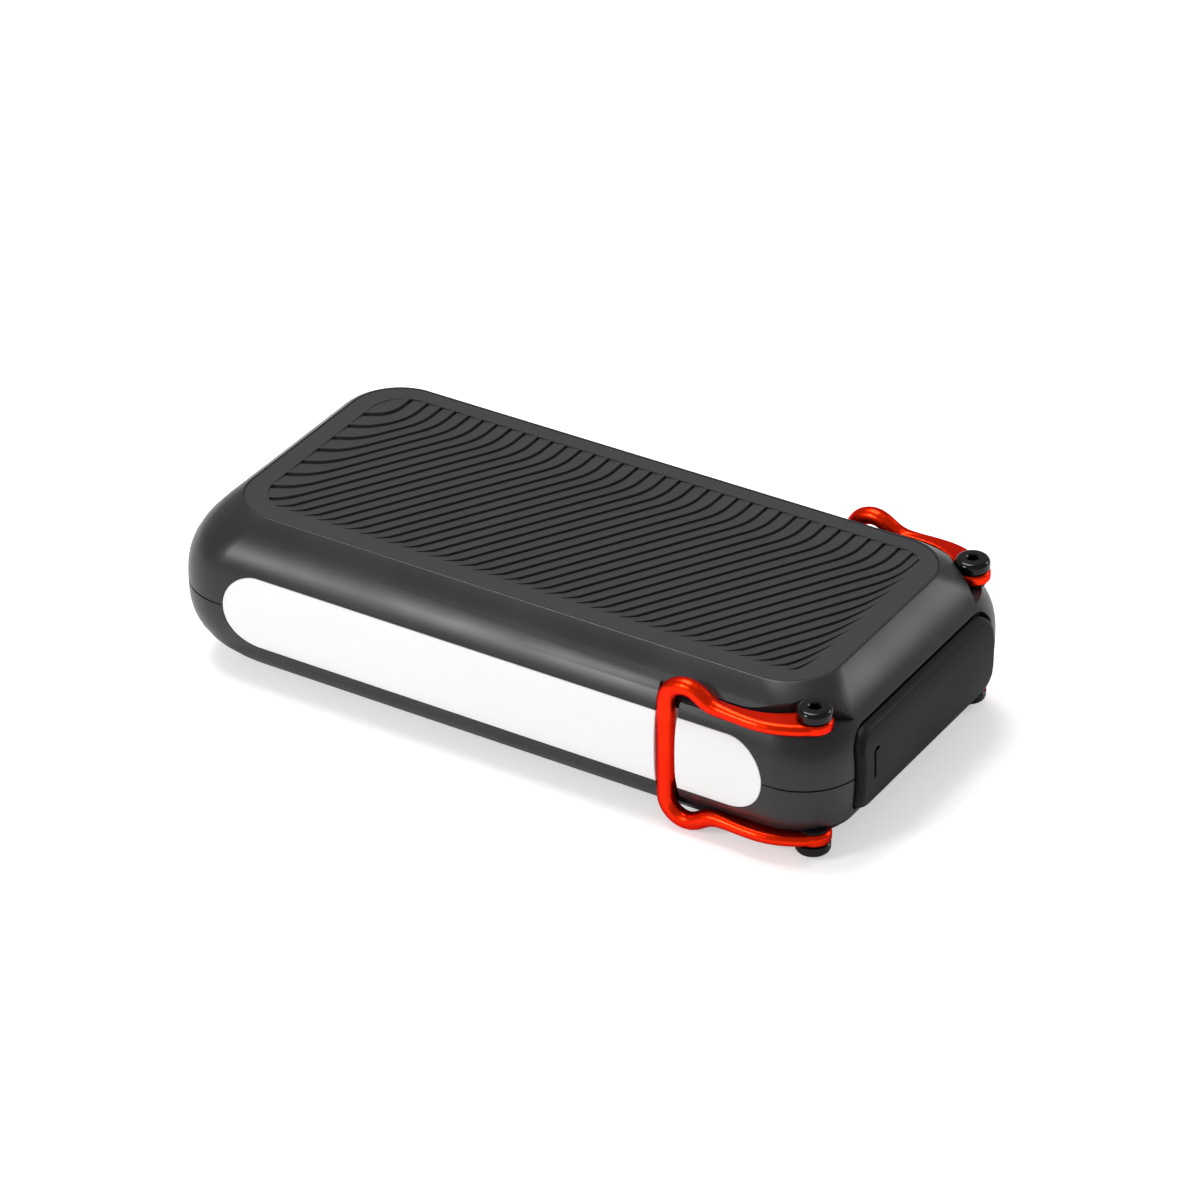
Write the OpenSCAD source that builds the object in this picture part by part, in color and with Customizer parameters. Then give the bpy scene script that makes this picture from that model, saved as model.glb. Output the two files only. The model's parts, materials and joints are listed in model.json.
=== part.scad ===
// Jump starter pack: a lithium battery pack with a light bar along one side,
// a port door at one end and two folding bails that swing out from its corners.
//
// The pack lies flat. +Z is up, +X points at the port end, and the light bar
// faces -Y. The upper and lower halves mirror each other about the parting
// line, so most pieces are drawn upwards from that line and then mirrored.

/* [Body] */
// Length of the covers at the parting line
body_l = 170; // [141:1:204]
// Width of the covers at the parting line
body_w = 84.6; // [82:0.2:102]
// Height of the pack between its two grip pads
body_h = 38.8; // [32:0.2:47]
// Distance that the top face lies inside the parting line
flank_in = 9.7; // [9:0.1:11]
// Fullness of the flank: 2 is an arc, more is fuller
flank_bow = 2.8; // [2.4:0.1:3.2]
// Corner radius of the top face, seen from above
face_r = 12.5; // [10:0.5:15]
// Corner radius at the parting line, seen from above
mid_r = 14.5; // [13:0.5:16]
// Wall of the two covers
wall = 2.4; // [2:0.1:2.9]
// Depth of the groove that shows at the parting line
seam = 0.25; // [0.1:0.05:0.5]

/* [Grip pads] */
// Thickness of the rubber grip pads
pad_t = 1.6; // [1.3:0.1:2]
// Roof of a cover under its grip pad
roof = 1.8; // [1.5:0.1:2.2]
// Rim of the cover left round a grip pad
pad_rim = 0.4; // [0.3:0.1:0.6]
// Plain border between the edge of the top face and the ribbed field
field_rim = 5.1; // [4:0.1:6.5]
// Distance from rib to rib, along the pack
rib_pitch = 3.7; // [3:0.1:4.5]
// Width of the groove between two ribs
groove_w = 0.9; // [0.7:0.1:1.1]
// Depth of the groove between two ribs
groove_d = 0.7; // [0.5:0.1:0.9]
// Lean of the ribs: distance along the pack for each unit across it
rib_lean = 0.6; // [0.4:0.05:0.8]

/* [Bails] */
// Diameter of the bail's rod
rod_d = 4; // [3.4:0.1:4.8]
// Distance from the parting line's end to the pivot, along the pack
pivot_in_x = 7.8; // [7.2:0.1:8.6]
// Distance from the parting line's side to the pivot, across the pack
pivot_in_y = 7.8; // [7.2:0.1:8.6]
// Distance from the pivot to the bail's upright bar, along the pack
bail_reach = 32.8; // [28:0.2:40]
// Distance that the bar's middle lies inside the parting line
bar_in = 2; // [1.8:0.1:2.4]
// Radius of the rod's bends, at the middle of the rod
bend_r = 5.2; // [4.5:0.1:6.4]
// Thickness of the flat end of a bail arm
plate_t = 2.8; // [2.2:0.1:3.2]
// Drop from the top face to the flat end of a bail arm
plate_drop = 4.1; // [3.8:0.05:5]
// Drop from the top face to the bail's rod
rod_drop = 0.5; // [0.3:0.1:1]
// Radius of the eye round the pivot
eye_r = 4.05; // [3.9:0.05:4.8]

/* [Pivot hardware] */
// Radius of the pivot screw's shank
screw_r = 1.5; // [1.3:0.05:1.8]
// Length of the pivot screw's shank
screw_l = 11; // [9:0.5:13]
// Radius of the pivot screw's head
head_r = 3.9; // [3.3:0.1:4.2]
// Height of the pivot screw's head
head_h = 2.5; // [2:0.1:3.2]
// Width across the flats of the pivot screw's hex socket
socket_w = 2.5; // [2:0.1:3]
// Outer radius of the bushing that the eye turns on
bush_r = 2.5; // [2.2:0.1:2.8]
// Thickness of the bushing's flange, under the eye
flange_t = 0.45; // [0.4:0.05:0.8]
// Radius of the bushing's flange
flange_r = 3.2; // [3:0.1:3.6]
// Radius of the brass insert that the pivot screw threads into
insert_r = 2.3; // [2.1:0.1:2.5]
// Length of the brass insert
insert_l = 6; // [5:0.5:7]
// Radius of the boss that holds the insert
boss_r = 4.2; // [3.8:0.1:4.4]

/* [Light bar] */
// Distance from the parting line's end to the end of the diffuser
diffuser_in = 16.2; // [15:0.1:20]
// Drop from the top face to the diffuser's upper edge
diffuser_drop = 10.5; // [9.8:0.1:12]
// Distance from the parting line's side to the back of the diffuser
diffuser_depth = 6.9; // [6.5:0.1:7.2]
// Wall of the diffuser
diffuser_wall = 2; // [1.6:0.1:2.4]
// Depth of the light tray behind the diffuser
tray_d = 5.4; // [5:0.1:5.6]
// Number of LEDs in the light bar
led_count = 14; // [8:1:18]

/* [Port end] */
// Distance from the parting line's side to the opening of the port end
port_in = 12; // [11.6:0.1:13]
// Thickness of the port door at its middle
door_t = 3.4; // [3:0.1:4.1]
// Distance that the port door stands out past the parting line's end
door_proud = 1.6; // [1.2:0.1:2]
// Corner radius of the port door
door_r = 5; // [4:0.1:6]
// Gap round the port door
door_gap = 0.5; // [0.4:0.05:0.6]
// Gap at the door's hinged end, which holds its strap
strap_gap = 1.3; // [1.2:0.1:1.5]
// Thickness of the panel behind the port door
panel_t = 3; // [2.4:0.1:3.4]

/* [Power and control] */
// Distance from the parting line's end to the end of the cells
cell_in_x = 20.6; // [20:0.1:26]
// Distance from the parting line's side to the side of the cells
cell_in_y = 13.8; // [13.4:0.1:16]
// Thickness of the foam above and below the cell stack
foam_t = 2; // [1:0.1:3]
// Length of the main board
board_l = 43.6; // [40:0.2:46]
// Travel of the two buttons
button_travel = 0.6; // [0.4:0.1:0.8]
// Radius of the two buttons
button_r = 4.5; // [3.8:0.1:4.9]
// Distance from the middle of the control panel to each button
button_x = 17; // [15:0.5:19]
// Distance from a bail's upright bar to the middle of the control panel
panel_in = 44.4; // [40:0.2:50]
// Distance from the top face's end to the case screws at the blind end
case_in_x = 6; // [5.9:0.1:7]
// Distance from the top face's side to the case screws
case_in_y = 6; // [5.7:0.1:6.4]

/* [Hidden] */

// Smoothness of round pieces, of round corners inside a hull, and of the body's corners
$fn = 48;
hull_fn = 36;
corner_steps = 9;
// Clearance between fixed pieces, running clearance of a pivot, and an overshoot for cuts
fit = 0.1;
run = 0.06;
cut = 1;

// Levels of the body's flank, as shares of the half height
LEVELS = [0.3, 0.5, 0.64, 0.76, 0.86, 0.94, 1];
seam_level = 0.015;

mid_z = body_h / 2;
face_x = body_l / 2 - flank_in;
face_y = body_w / 2 - flank_in;
cavity_h = mid_z - pad_t - roof;
liner = 1.2;
// Depth of the lips that hold the diffuser and the control panel behind the covers' wall
lip_depth = wall + 2;

// Bail: the pivot, the bar and the heights of its arms above the parting line
end_play = 0.05;
head_gap = 0.3;
pivot_x = body_l / 2 - pivot_in_x;
pivot_y = body_w / 2 - pivot_in_y;
rod_r = rod_d / 2;
bar_x = pivot_x - bail_reach;
bar_y = body_w / 2 - bar_in;
arm_h = mid_z - rod_drop - rod_r;
plate_h = mid_z - plate_drop - plate_t;
ledge_h = plate_h - end_play - flange_t;
neck_x = bar_x + bend_r + 0.8;
neck_l = 6.8;
elbow_x = pivot_x - 11;
plate_side_in = bar_y - 1.2;
plate_side_out = bar_y + 2.55;
neck_side = bar_y + 0.6;

// Recess that each bail parks in
park_gap = 1.2;
park_gap_left = 0.35;
park_gap_in = 0.4;
recess_side = plate_side_in - 1.3;
recess_r = eye_r + 0.3;
recess_angle = 29.5;
channel_side = bar_y - rod_r - park_gap_in;

// Port end
door_h = 2 * (ledge_h - 2);
door_x0 = body_l / 2 + door_proud - door_t;
port_y1 = body_w / 2 - port_in;
port_y0 = -port_y1;
door_y0 = port_y0 + door_gap;
door_y1 = port_y1 - strap_gap;
port_h = door_h + 2 * door_gap;
port_r = door_r + door_gap;
hinge_x = body_l / 2 - 0.6;
hinge_y = door_y1 + strap_gap / 2;
strap_t = 0.7;
panel_x1 = door_x0 - 1.2;
panel_x0 = panel_x1 - panel_t;

// Main board and its parts, measured from the parting line
board_top = -3.1;
board_t = 1.6;
board_x1 = panel_x0 - 0.4;
board_x0 = board_x1 - board_l;
post_r = 2.6;
jump_y = 14.5;
jump_w = 24;
jump_h = 12.5;
jump_x0 = panel_x1 - 15.5;
jump_wall = 4;
contact_r = 2.5;
contact_gap = 10.3;
usb_a_y = -6.9;
usb_c_y = -19;
board_step_x = jump_x0 - 4;

// Battery: one node for each cell
cell_count = 4;
cell_gap = 0.1;
cell_pitch = 2 * (cavity_h - foam_t) / cell_count;
cell_t = cell_pitch - cell_gap;
cell_x1 = board_x0 - 5.4;
cell_x0 = -body_l / 2 + cell_in_x;
cell_l = cell_x1 - cell_x0;
cell_w = body_w - 2 * cell_in_y;
tab_w = 8;
tab_y = 14.5;
tab_t = 0.4;
link_x = cell_x1 + 2;
bar_leg_x = cell_x1 + 3.4;
bar_t = 1.2;
power_bar_w = 7;

// Case screws, two at the blind end and two behind the ports
case_y = face_y - case_in_y;
case_boss_r = 2.8;
CASE_SCREWS = [
    for (x = [-face_x + case_in_x, jump_x0 - 6.2], sy = [-1, 1]) [x, sy * case_y]
];
board_y = case_y - case_boss_r - 0.2;

// Control panel on the far side
control_x = bar_x - panel_in;
button_flange_r = button_r + 0.8;
bezel_h = 2 * (button_flange_r + 1.2);
bezel_l = 2 * (button_x + button_flange_r + 8.7);
bezel_back = body_w / 2 - lip_depth - 0.5;
button_proud = 0.3;
control_board_y = bezel_back - 6.4;
control_board_t = 1.2;
control_post_x = button_x + 8.5;
lens_l = 16;
lens_h = 3.2;

// Seen from above, the bounding box is centred on the origin
shift_x = -door_proud / 2;

// ---------------------------------------------------------------- helpers

// Distance that the flank stands out from the top face, at a share t of the half height
function bow(t) = flank_in * (1 - pow(abs(t), flank_bow));

// Corner radius of the body at a share t of the half height
function corner(t) = face_r + (mid_r - face_r) * bow(t) / flank_in;

// Horizontal thickness that a wall of the given thickness has at a share t of the half height
function slanted(t, thickness) =
    thickness * sqrt(1 + pow(flank_in * flank_bow / mid_z * pow(abs(t), flank_bow - 1), 2));

// Point where a line from point q touches a circle, on the side that turn names (+1 or -1)
function touch(centre, r, q, turn) =
    let (d = q - centre, a = atan2(d.y, d.x) + turn * acos(r / norm(d)))
    centre + r * [cos(a), sin(a)];

module from_parting(upper = true) {
    translate([0, 0, mid_z]) mirror([0, 0, upper ? 0 : 1]) children();
}

module both_halves() {
    from_parting(true) children();
    from_parting(false) children();
}

module both_sides() {
    children();
    mirror([0, 1, 0]) children();
}

// One level of the body's outline, drawn in by inset, at a share t of the half height
function outline(t, inset) =
    let (
        r = corner(t) - inset,
        x = face_x + bow(t) - inset - r,
        y = face_y + bow(t) - inset - r
    )
    [
        for (q = [0 : 3], i = [0 : corner_steps])
        let (a = 90 * (q + i / corner_steps))
        [
            (q == 0 || q == 3 ? x : -x) + r * cos(a),
            (q < 2 ? y : -y) + r * sin(a),
            t * mid_z
        ]
    ];

// Solid through a stack of outlines, from the lowest to the highest
module loft(outlines) {
    n = len(outlines[0]);
    last = len(outlines) - 1;
    polyhedron(
        points = [for (ring = outlines, p = ring) p],
        faces = concat(
            [[for (i = [0 : n - 1]) i]],
            [
                for (k = [0 : last - 1], i = [0 : n - 1], half = [0, 1])
                let (a = k * n + i, b = k * n + (i + 1) % n)
                half == 0 ? [a, a + n, b + n] : [a, b + n, b]
            ],
            [[for (i = [n - 1 : -1 : 0]) last * n + i]]
        )
    );
}

// Upper half of the body as one solid
module half_body() {
    loft(concat([outline(0, seam), outline(seam_level, 0)], [for (t = LEVELS) outline(t, 0)]));
}

// Space inside a cover, one wall in from its flank
module cavity() {
    share = cavity_h / mid_z;
    loft(concat([outline(0, wall)], [for (t = LEVELS) outline(share * t, slanted(share * t, wall))]));
}

// Whole body as one solid, for pieces that follow its skin
module whole_body(inset) {
    last = len(LEVELS) - 1;
    loft(concat(
        [for (i = [last : -1 : 0]) outline(-LEVELS[i], inset)],
        [outline(-seam_level, inset), outline(seam_level, inset)],
        [for (t = LEVELS) outline(t, inset)]
    ));
}

// Bar with round ends, seen along Y, from y0 to y1
module slot_bar(l, h, y0, y1) {
    translate([0, y1, 0]) rotate([90, 0, 0]) linear_extrude(y1 - y0) {
        square([l - h, h], center = true);
        for (s = [-1, 1]) translate([s * (l - h) / 2, 0]) circle(d = h);
    }
}

// Plate with round corners that faces +X, between two y values
module end_plate(y0, y1, h, r, x0, t) {
    hull()
        for (y = [y0 + r, y1 - r], s = [-1, 1])
            translate([x0, y, s * (h / 2 - r)]) rotate([0, 90, 0]) cylinder(r = r, h = t, $fn = hull_fn);
}

// Box between two corners
module box(low, high) {
    translate(low) cube(high - low);
}

// ---------------------------------------------------------------- covers

// Wall behind the arm, curving in to the eye: along from the pivot, and in from the recess side
RECESS_WALL = [
    [-17, 0], [-13.2, 0.35], [-10.9, 0.9], [-8.7, 1.6], [-7, 2.5], [-5.6, 3.4], [-4.3, 4.4]
];

// Ledge and wall round a parked bail on the near side, as a plan, grown by grow
module recess_plan(grow) {
    r = recess_r + grow;
    start = [pivot_x - r * sin(recess_angle), -pivot_y + r * cos(recess_angle)];
    run_l = 20;
    left = bar_x - rod_r - park_gap_left - grow;
    translate([left, -body_w]) square([pivot_x - left, body_w - recess_side + grow]);
    translate([pivot_x, -pivot_y]) circle(r = r);
    polygon(concat(
        [for (p = RECESS_WALL) [pivot_x + p.x, -recess_side + p.y + grow]],
        [[pivot_x, -pivot_y], [pivot_x, -body_w], [pivot_x + RECESS_WALL[0].x, -body_w]]
    ));
    polygon([
        start,
        start + run_l * [cos(recess_angle), sin(recess_angle)],
        [start.x + run_l * cos(recess_angle), -body_w],
        [start.x, -body_w]
    ]);
}

module bail_recess(grow) {
    translate([0, 0, ledge_h - grow]) linear_extrude(mid_z) recess_plan(grow);
}

// Upright channel that the bail's bar parks in
module bail_channel(grow) {
    box(
        [bar_x - rod_r - park_gap_left - grow, -body_w, -cut],
        [bar_x + rod_r + park_gap + grow, -channel_side + grow, ledge_h + cut]
    );
}

module port_opening() {
    end_plate(port_y0, port_y1, port_h, port_r, panel_x0 - 0.6, 20);
}

module case_bosses(r, z0, z1) {
    for (p = CASE_SCREWS) translate([p.x, p.y, z0]) cylinder(r = r, h = z1 - z0);
}

// What stays solid inside a cover: ledges, channel backs and bosses
module cover_ribs() {
    both_sides() {
        bail_recess(liner);
        bail_channel(liner);
        translate([pivot_x, -pivot_y, ledge_h - insert_l - 3.4])
            cylinder(r = boss_r, h = mid_z);
    }
    case_bosses(case_boss_r, 0, mid_z);
}

// One cover, drawn upwards from the parting line
module cover_shell(head_bosses = false) {
    difference() {
        half_body();
        difference() {
            translate([0, 0, -0.01]) cavity();
            cover_ribs();
            if (head_bosses) case_bosses(case_head_r + 1.4, case_seat - 1.6, mid_z);
        }
        both_sides() {
            bail_recess(0);
            bail_channel(0);
            translate([pivot_x, -pivot_y, 0]) {
                cylinder(r = screw_r + fit, h = mid_z);
                translate([0, 0, -cut]) cylinder(r = insert_r, h = ledge_h - 2 + cut);
            }
        }
        pad_outline(mid_z - pad_t, pad_t + cut, pad_rim);
        slot_bar(diffuser_l + 2 * fit, diffuser_h + 2 * fit, -body_w, -diffuser_back + cut);
        translate([control_x, 0, 0])
            slot_bar(bezel_l + 2 * fit, bezel_h + 2 * fit, bezel_back - cut, body_w);
        port_opening();
    }
}

module top_cover() {
    color("#3f3f41") from_parting(true)
        difference() {
            cover_shell();
            translate([0, 0, -cut]) case_bosses(case_thread_r, 0, 9.5);
        }
}

// Case screw: its shank, its head and the place of its head
case_thread_r = 1.3;
case_head_r = 2.4;
case_head_h = 1.7;
case_seat = mid_z - pad_t - 4;
case_screw_l = case_seat + 8;

module bottom_cover() {
    color("#3f3f41") from_parting(false) {
        difference() {
            cover_shell(true);
            translate([0, 0, -cut]) case_bosses(case_thread_r + fit, 0, mid_z);
            case_bosses(case_head_r + fit, case_seat, mid_z);
        }
        board_posts();
    }
}

// Posts under the main board, drawn from the floor of the bottom cover
POSTS = [
    [board_x0 + 4, board_y - 3.2], [board_step_x - 4, board_y - 3.2],
    [board_x0 + 4, -board_y + 3.2], [jump_x0 + 1.6, -board_y + 3.2]
];

module board_posts() {
    foot = board_t - board_top;
    for (p = POSTS)
        translate([p.x, p.y, foot]) difference() {
            cylinder(r = post_r, h = cavity_h - foot + 0.5);
            translate([0, 0, -cut]) cylinder(r = board_screw_r, h = 6);
        }
}

// ---------------------------------------------------------------- grip pads

// Outline of the top face drawn in by inset, from z0 up
module pad_outline(z0, h, inset) {
    translate([0, 0, z0]) hull()
        for (sx = [-1, 1], sy = [-1, 1])
            translate([sx * (face_x - face_r), sy * (face_y - face_r)])
                cylinder(r = face_r - inset, h = h, $fn = hull_fn);
}

// The ribs are level lines of along(x) - across(y). Both are straight in the
// middle of the field. Towards its left end the lines lie flatter and towards
// its right end steeper, and they stand upright where they meet its far side.
field_x = face_x - field_rim;
field_y = face_y - field_rim;
bend_left = 8.5;
bend_far = 8;
left_slope = 0.25;
left_x = -field_x + bend_left;
far_y = field_y - bend_far;

function across(y) =
    y < far_y ? rib_lean * y : rib_lean * (y - pow(y - far_y, 2) / (2 * bend_far));

// Position along the field at which along(x) has the value u
function along_inverse(u) =
    u > left_x ? u
    : left_x - bend_left * (1 - sqrt(max(0, 1 - 2 * (1 - left_slope) * (left_x - u) / bend_left)))
        / (1 - left_slope);

rib_first = ceil((-field_x - across(field_y)) / rib_pitch) - 1;
rib_last = floor((field_x - across(-field_y)) / rib_pitch);
groove_steps = 9;

module rib_groove(n) {
    line = [
        for (i = [0 : groove_steps])
        let (y = -field_y + 2 * field_y * i / groove_steps)
        [along_inverse(n * rib_pitch + across(y)), y]
    ];
    polygon(concat(
        line,
        [for (i = [groove_steps : -1 : 0]) line[i] + [groove_w, 0]]
    ));
}

module rib_field() {
    intersection() {
        union() for (n = [rib_first : rib_last]) rib_groove(n);
        square([2 * field_x, 2 * field_y], center = true);
    }
}

module grip_pad() {
    difference() {
        pad_outline(mid_z - pad_t, pad_t, pad_rim + fit / 2);
        translate([0, 0, mid_z - groove_d]) linear_extrude(groove_d + cut) rib_field();
    }
}

module top_grip_pad() {
    color("#38383a") from_parting(true) grip_pad();
}

module bottom_grip_pad() {
    color("#38383a") from_parting(false) grip_pad();
}

// ---------------------------------------------------------------- light bar

diffuser_l = body_l - 2 * diffuser_in;
diffuser_h = body_h - 2 * diffuser_drop;
diffuser_back = body_w / 2 - diffuser_depth;
diffuser_lip = 1.1;

module light_diffuser() {
    inner_l = diffuser_l - 2 * diffuser_wall;
    inner_h = diffuser_h - 2 * diffuser_wall;
    color("#f6f6f6") translate([0, 0, mid_z]) difference() {
        union() {
            intersection() {
                whole_body(0.05);
                slot_bar(diffuser_l, diffuser_h, -body_w, -diffuser_back);
            }
            difference() {
                slot_bar(
                    diffuser_l + 2 * diffuser_lip, diffuser_h + 2 * diffuser_lip,
                    -body_w / 2 + lip_depth, -body_w / 2 + lip_depth + 1.4
                );
                for (s = [0, 1]) mirror([0, 0, s]) bail_channel(liner + fit);
            }
        }
        for (s = [0, 1]) mirror([0, 0, s]) bail_channel(0);
        difference() {
            slot_bar(inner_l, inner_h, -body_w / 2 + diffuser_wall + 0.7, -diffuser_back + cut);
            for (s = [0, 1]) mirror([0, 0, s]) bail_channel(diffuser_wall);
        }
    }
}

tray_l = diffuser_l - 5.6;
tray_h = diffuser_h - 2;
tray_front = -diffuser_back + fit / 2;
tray_back = tray_front + tray_d;
tray_wall = 1.2;
light_board_t = 1.2;
light_board_y = tray_back - tray_wall;
light_board_l = tray_l - 2 * tray_wall - 2 * fit;
light_board_h = tray_h - 2 * tray_wall - 2 * fit;
led_h = 0.8;
light_cable_x = board_x0 + 12;
cable_w = 6;
cable_t = 0.3;

module light_tray() {
    color("#ececec") translate([0, 0, mid_z]) difference() {
        box([-tray_l / 2, tray_front, -tray_h / 2], [tray_l / 2, tray_back, tray_h / 2]);
        box(
            [-tray_l / 2 + tray_wall, tray_front - cut, -tray_h / 2 + tray_wall],
            [tray_l / 2 - tray_wall, light_board_y, tray_h / 2 - tray_wall]
        );
        box(
            [light_cable_x - fit, tray_front, board_top - fit],
            [light_cable_x + cable_w + fit, tray_back + cut, board_top + cable_t + fit]
        );
    }
}

module light_board() {
    color("#e9efe9") translate([0, 0, mid_z])
        box(
            [-light_board_l / 2, light_board_y - light_board_t, -light_board_h / 2],
            [light_board_l / 2, light_board_y, light_board_h / 2]
        );
}

module light_leds() {
    pitch = light_board_l / led_count;
    front = light_board_y - light_board_t - led_h;
    color("#f4e9a8") translate([0, 0, mid_z])
        for (i = [0 : led_count - 1])
            translate([(i - (led_count - 1) / 2) * pitch, front + led_h / 2, 0])
                cube([3.5, led_h, 2.8], center = true);
}

module light_cable() {
    color("#d8d8d0") translate([0, 0, mid_z])
        box(
            [light_cable_x, light_board_y, board_top],
            [light_cable_x + cable_w, -board_y + 4, board_top + cable_t]
        );
}

// ---------------------------------------------------------------- bails

// Flat end of a bail arm, seen from above
module plate_plan() {
    pivot = [pivot_x, -pivot_y];
    outer = [elbow_x + 4.5, -plate_side_out + 0.85];
    polygon([
        [neck_x + neck_l - 0.2, -plate_side_in],
        [elbow_x - 1.6, -plate_side_in + 0.15],
        [elbow_x + 1.2, -plate_side_in + 0.7],
        [pivot_x - eye_r + 0.02, -pivot_y],
        pivot,
        touch(pivot, eye_r, outer, 1),
        outer,
        [elbow_x, -plate_side_out],
        [elbow_x - 2.4, -plate_side_out + 0.45],
        [neck_x + neck_l - 0.2, -neck_side]
    ]);
    translate(pivot) circle(r = eye_r);
}

// Upper half of the near bail: half of the bar, the bend, the neck and the eye
module bail_half() {
    difference() {
        union() {
            translate([bar_x, -bar_y, 0]) cylinder(r = rod_r, h = arm_h - bend_r);
            translate([bar_x + bend_r, -bar_y, arm_h - bend_r]) rotate([90, 0, 0])
                rotate([0, 0, 90]) rotate_extrude(angle = 90) translate([bend_r, 0]) circle(r = rod_r);
            translate([bar_x + bend_r, -bar_y, arm_h]) rotate([0, 90, 0])
                cylinder(r = rod_r, h = neck_x - bar_x - bend_r);
            hull() {
                translate([neck_x - 0.2, -bar_y, arm_h]) rotate([0, 90, 0])
                    cylinder(r = rod_r, h = 0.2, $fn = hull_fn);
                translate([neck_x + neck_l - 0.2, -neck_side, plate_h])
                    cube([0.2, neck_side - plate_side_in, plate_t]);
            }
            translate([0, 0, plate_h]) linear_extrude(plate_t) plate_plan();
        }
        translate([pivot_x, -pivot_y, 0]) cylinder(r = bush_r + run, h = mid_z);
    }
}

module near_bail() {
    color("#f23a14") both_halves() bail_half();
}

module far_bail() {
    color("#f23a14") mirror([0, 1, 0]) both_halves() bail_half();
}

module at_pivots() {
    both_sides() both_halves() translate([pivot_x, -pivot_y, 0]) children();
}

// Cap head with a rounded edge and a hex socket
module pivot_screw() {
    seat = plate_h + plate_t + head_gap;
    edge = head_h * 0.45;
    translate([0, 0, seat]) difference() {
        union() {
            cylinder(r = head_r - edge, h = head_h);
            cylinder(r = head_r, h = head_h - edge);
            translate([0, 0, head_h - edge]) rotate_extrude()
                translate([head_r - edge, 0]) intersection() {
                    circle(r = edge);
                    square(edge);
                }
        }
        translate([0, 0, head_h - 1.3]) cylinder(d = socket_w / cos(30), h = 2, $fn = 6);
    }
    translate([0, 0, seat - screw_l]) cylinder(r = screw_r, h = screw_l + 0.3);
}

module pivot_screws() {
    color("#0c0c0d") at_pivots() pivot_screw();
}

module pivot_bushings() {
    color("#1d1d1f") at_pivots() difference() {
        union() {
            translate([0, 0, ledge_h]) cylinder(r = flange_r, h = flange_t);
            translate([0, 0, ledge_h]) cylinder(r = bush_r, h = flange_t + end_play + plate_t + head_gap);
        }
        cylinder(r = screw_r + run, h = mid_z);
    }
}

module pivot_inserts() {
    color("#c9a24a") at_pivots() translate([0, 0, ledge_h - 2 - insert_l]) difference() {
        cylinder(r = insert_r, h = insert_l);
        translate([0, 0, -cut]) cylinder(r = screw_r, h = insert_l + 2 * cut);
    }
}

// ---------------------------------------------------------------- port end

usb_a_w = 13.1;
usb_a_h = 5.7;
usb_a_l = 13.5;
usb_c_w = 9;
usb_c_h = 3.3;
usb_c_l = 7.3;
usb_wall = 0.35;
panel_tab_y = 19;

module port_panel() {
    lip_x = panel_x0 - 2.2;
    color("#2a2a2c") translate([0, 0, mid_z]) difference() {
        union() {
            end_plate(
                port_y0 + fit, port_y1 - fit, port_h - 2 * fit, port_r - fit,
                panel_x0, panel_t
            );
            for (s = [0, 1]) mirror([0, 0, s]) {
                box([lip_x, -panel_tab_y, port_h / 2 - 1.8], [panel_x0 + cut, panel_tab_y, port_h / 2 - 0.4]);
                box([lip_x, -panel_tab_y, port_h / 2 - 1.8], [lip_x + 1.2, panel_tab_y, port_h / 2 + 0.7]);
            }
        }
        box(
            [panel_x0 - cut, jump_y - jump_w / 2 - fit, -jump_h / 2 - fit],
            [panel_x1 + cut, jump_y + jump_w / 2 + fit, jump_h / 2 + fit]
        );
        box(
            [panel_x0 - cut, usb_a_y - usb_a_w / 2 - fit, board_top - fit],
            [panel_x1 + cut, usb_a_y + usb_a_w / 2 + fit, board_top + usb_a_h + fit]
        );
        translate([panel_x0 - cut, usb_c_y, board_top + usb_c_h / 2])
            usb_c_bar(usb_c_w + 2 * fit, usb_c_h + 2 * fit, panel_t + 2 * cut);
        box(
            [panel_x0 - cut, hinge_y - strap_t / 2 - 0.3, -strap_h / 2 - 0.3],
            [panel_x1 + cut, port_y1 + cut, strap_h / 2 + 0.3]
        );
    }
}

strap_h = 10;
bead_r = strap_t / 2;

// The door turns about a thin web at its far end, drawn with a round bead on its axis
module port_door() {
    edge = 1;
    grip_y = door_y0 + 4.95;
    front = door_x0 + door_t;
    color("#2b2b2d") translate([0, 0, mid_z]) {
        difference() {
            union() {
                intersection() {
                    whole_body(edge - door_proud);
                    end_plate(door_y0, door_y1, door_h, door_r, door_x0, 10);
                }
                intersection() {
                    whole_body(-door_proud);
                    end_plate(
                        door_y0 + edge, door_y1 - edge, door_h - 2 * edge, door_r - edge, door_x0, 10
                    );
                }
            }
            box([front - 0.9, grip_y - 0.5, -2.1], [front + cut, grip_y + 0.5, 5]);
            box([front - 0.9, grip_y - 0.5, 4], [front + cut, grip_y + 2, 5]);
        }
        door_lip();
        translate([hinge_x, hinge_y, -strap_h / 2]) cylinder(r = bead_r, h = strap_h);
        box(
            [hinge_x - strap_t / 2, door_y1 - 0.5, -strap_h / 2],
            [hinge_x + strap_t / 2, hinge_y, strap_h / 2]
        );
    }
}

// Sealing lip on the back of the door
module door_lip() {
    inset = 2.6;
    lip_w = 1.1;
    half_h = door_h / 2 - inset;
    depth = 0.9;
    difference() {
        box([door_x0 - depth, door_y0 + inset, -half_h], [door_x0 + 0.3, door_y1 - inset, half_h]);
        box(
            [door_x0 - depth - cut, door_y0 + inset + lip_w, -half_h + lip_w],
            [door_x0, door_y1 - inset - lip_w, half_h - lip_w]
        );
    }
}

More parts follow.
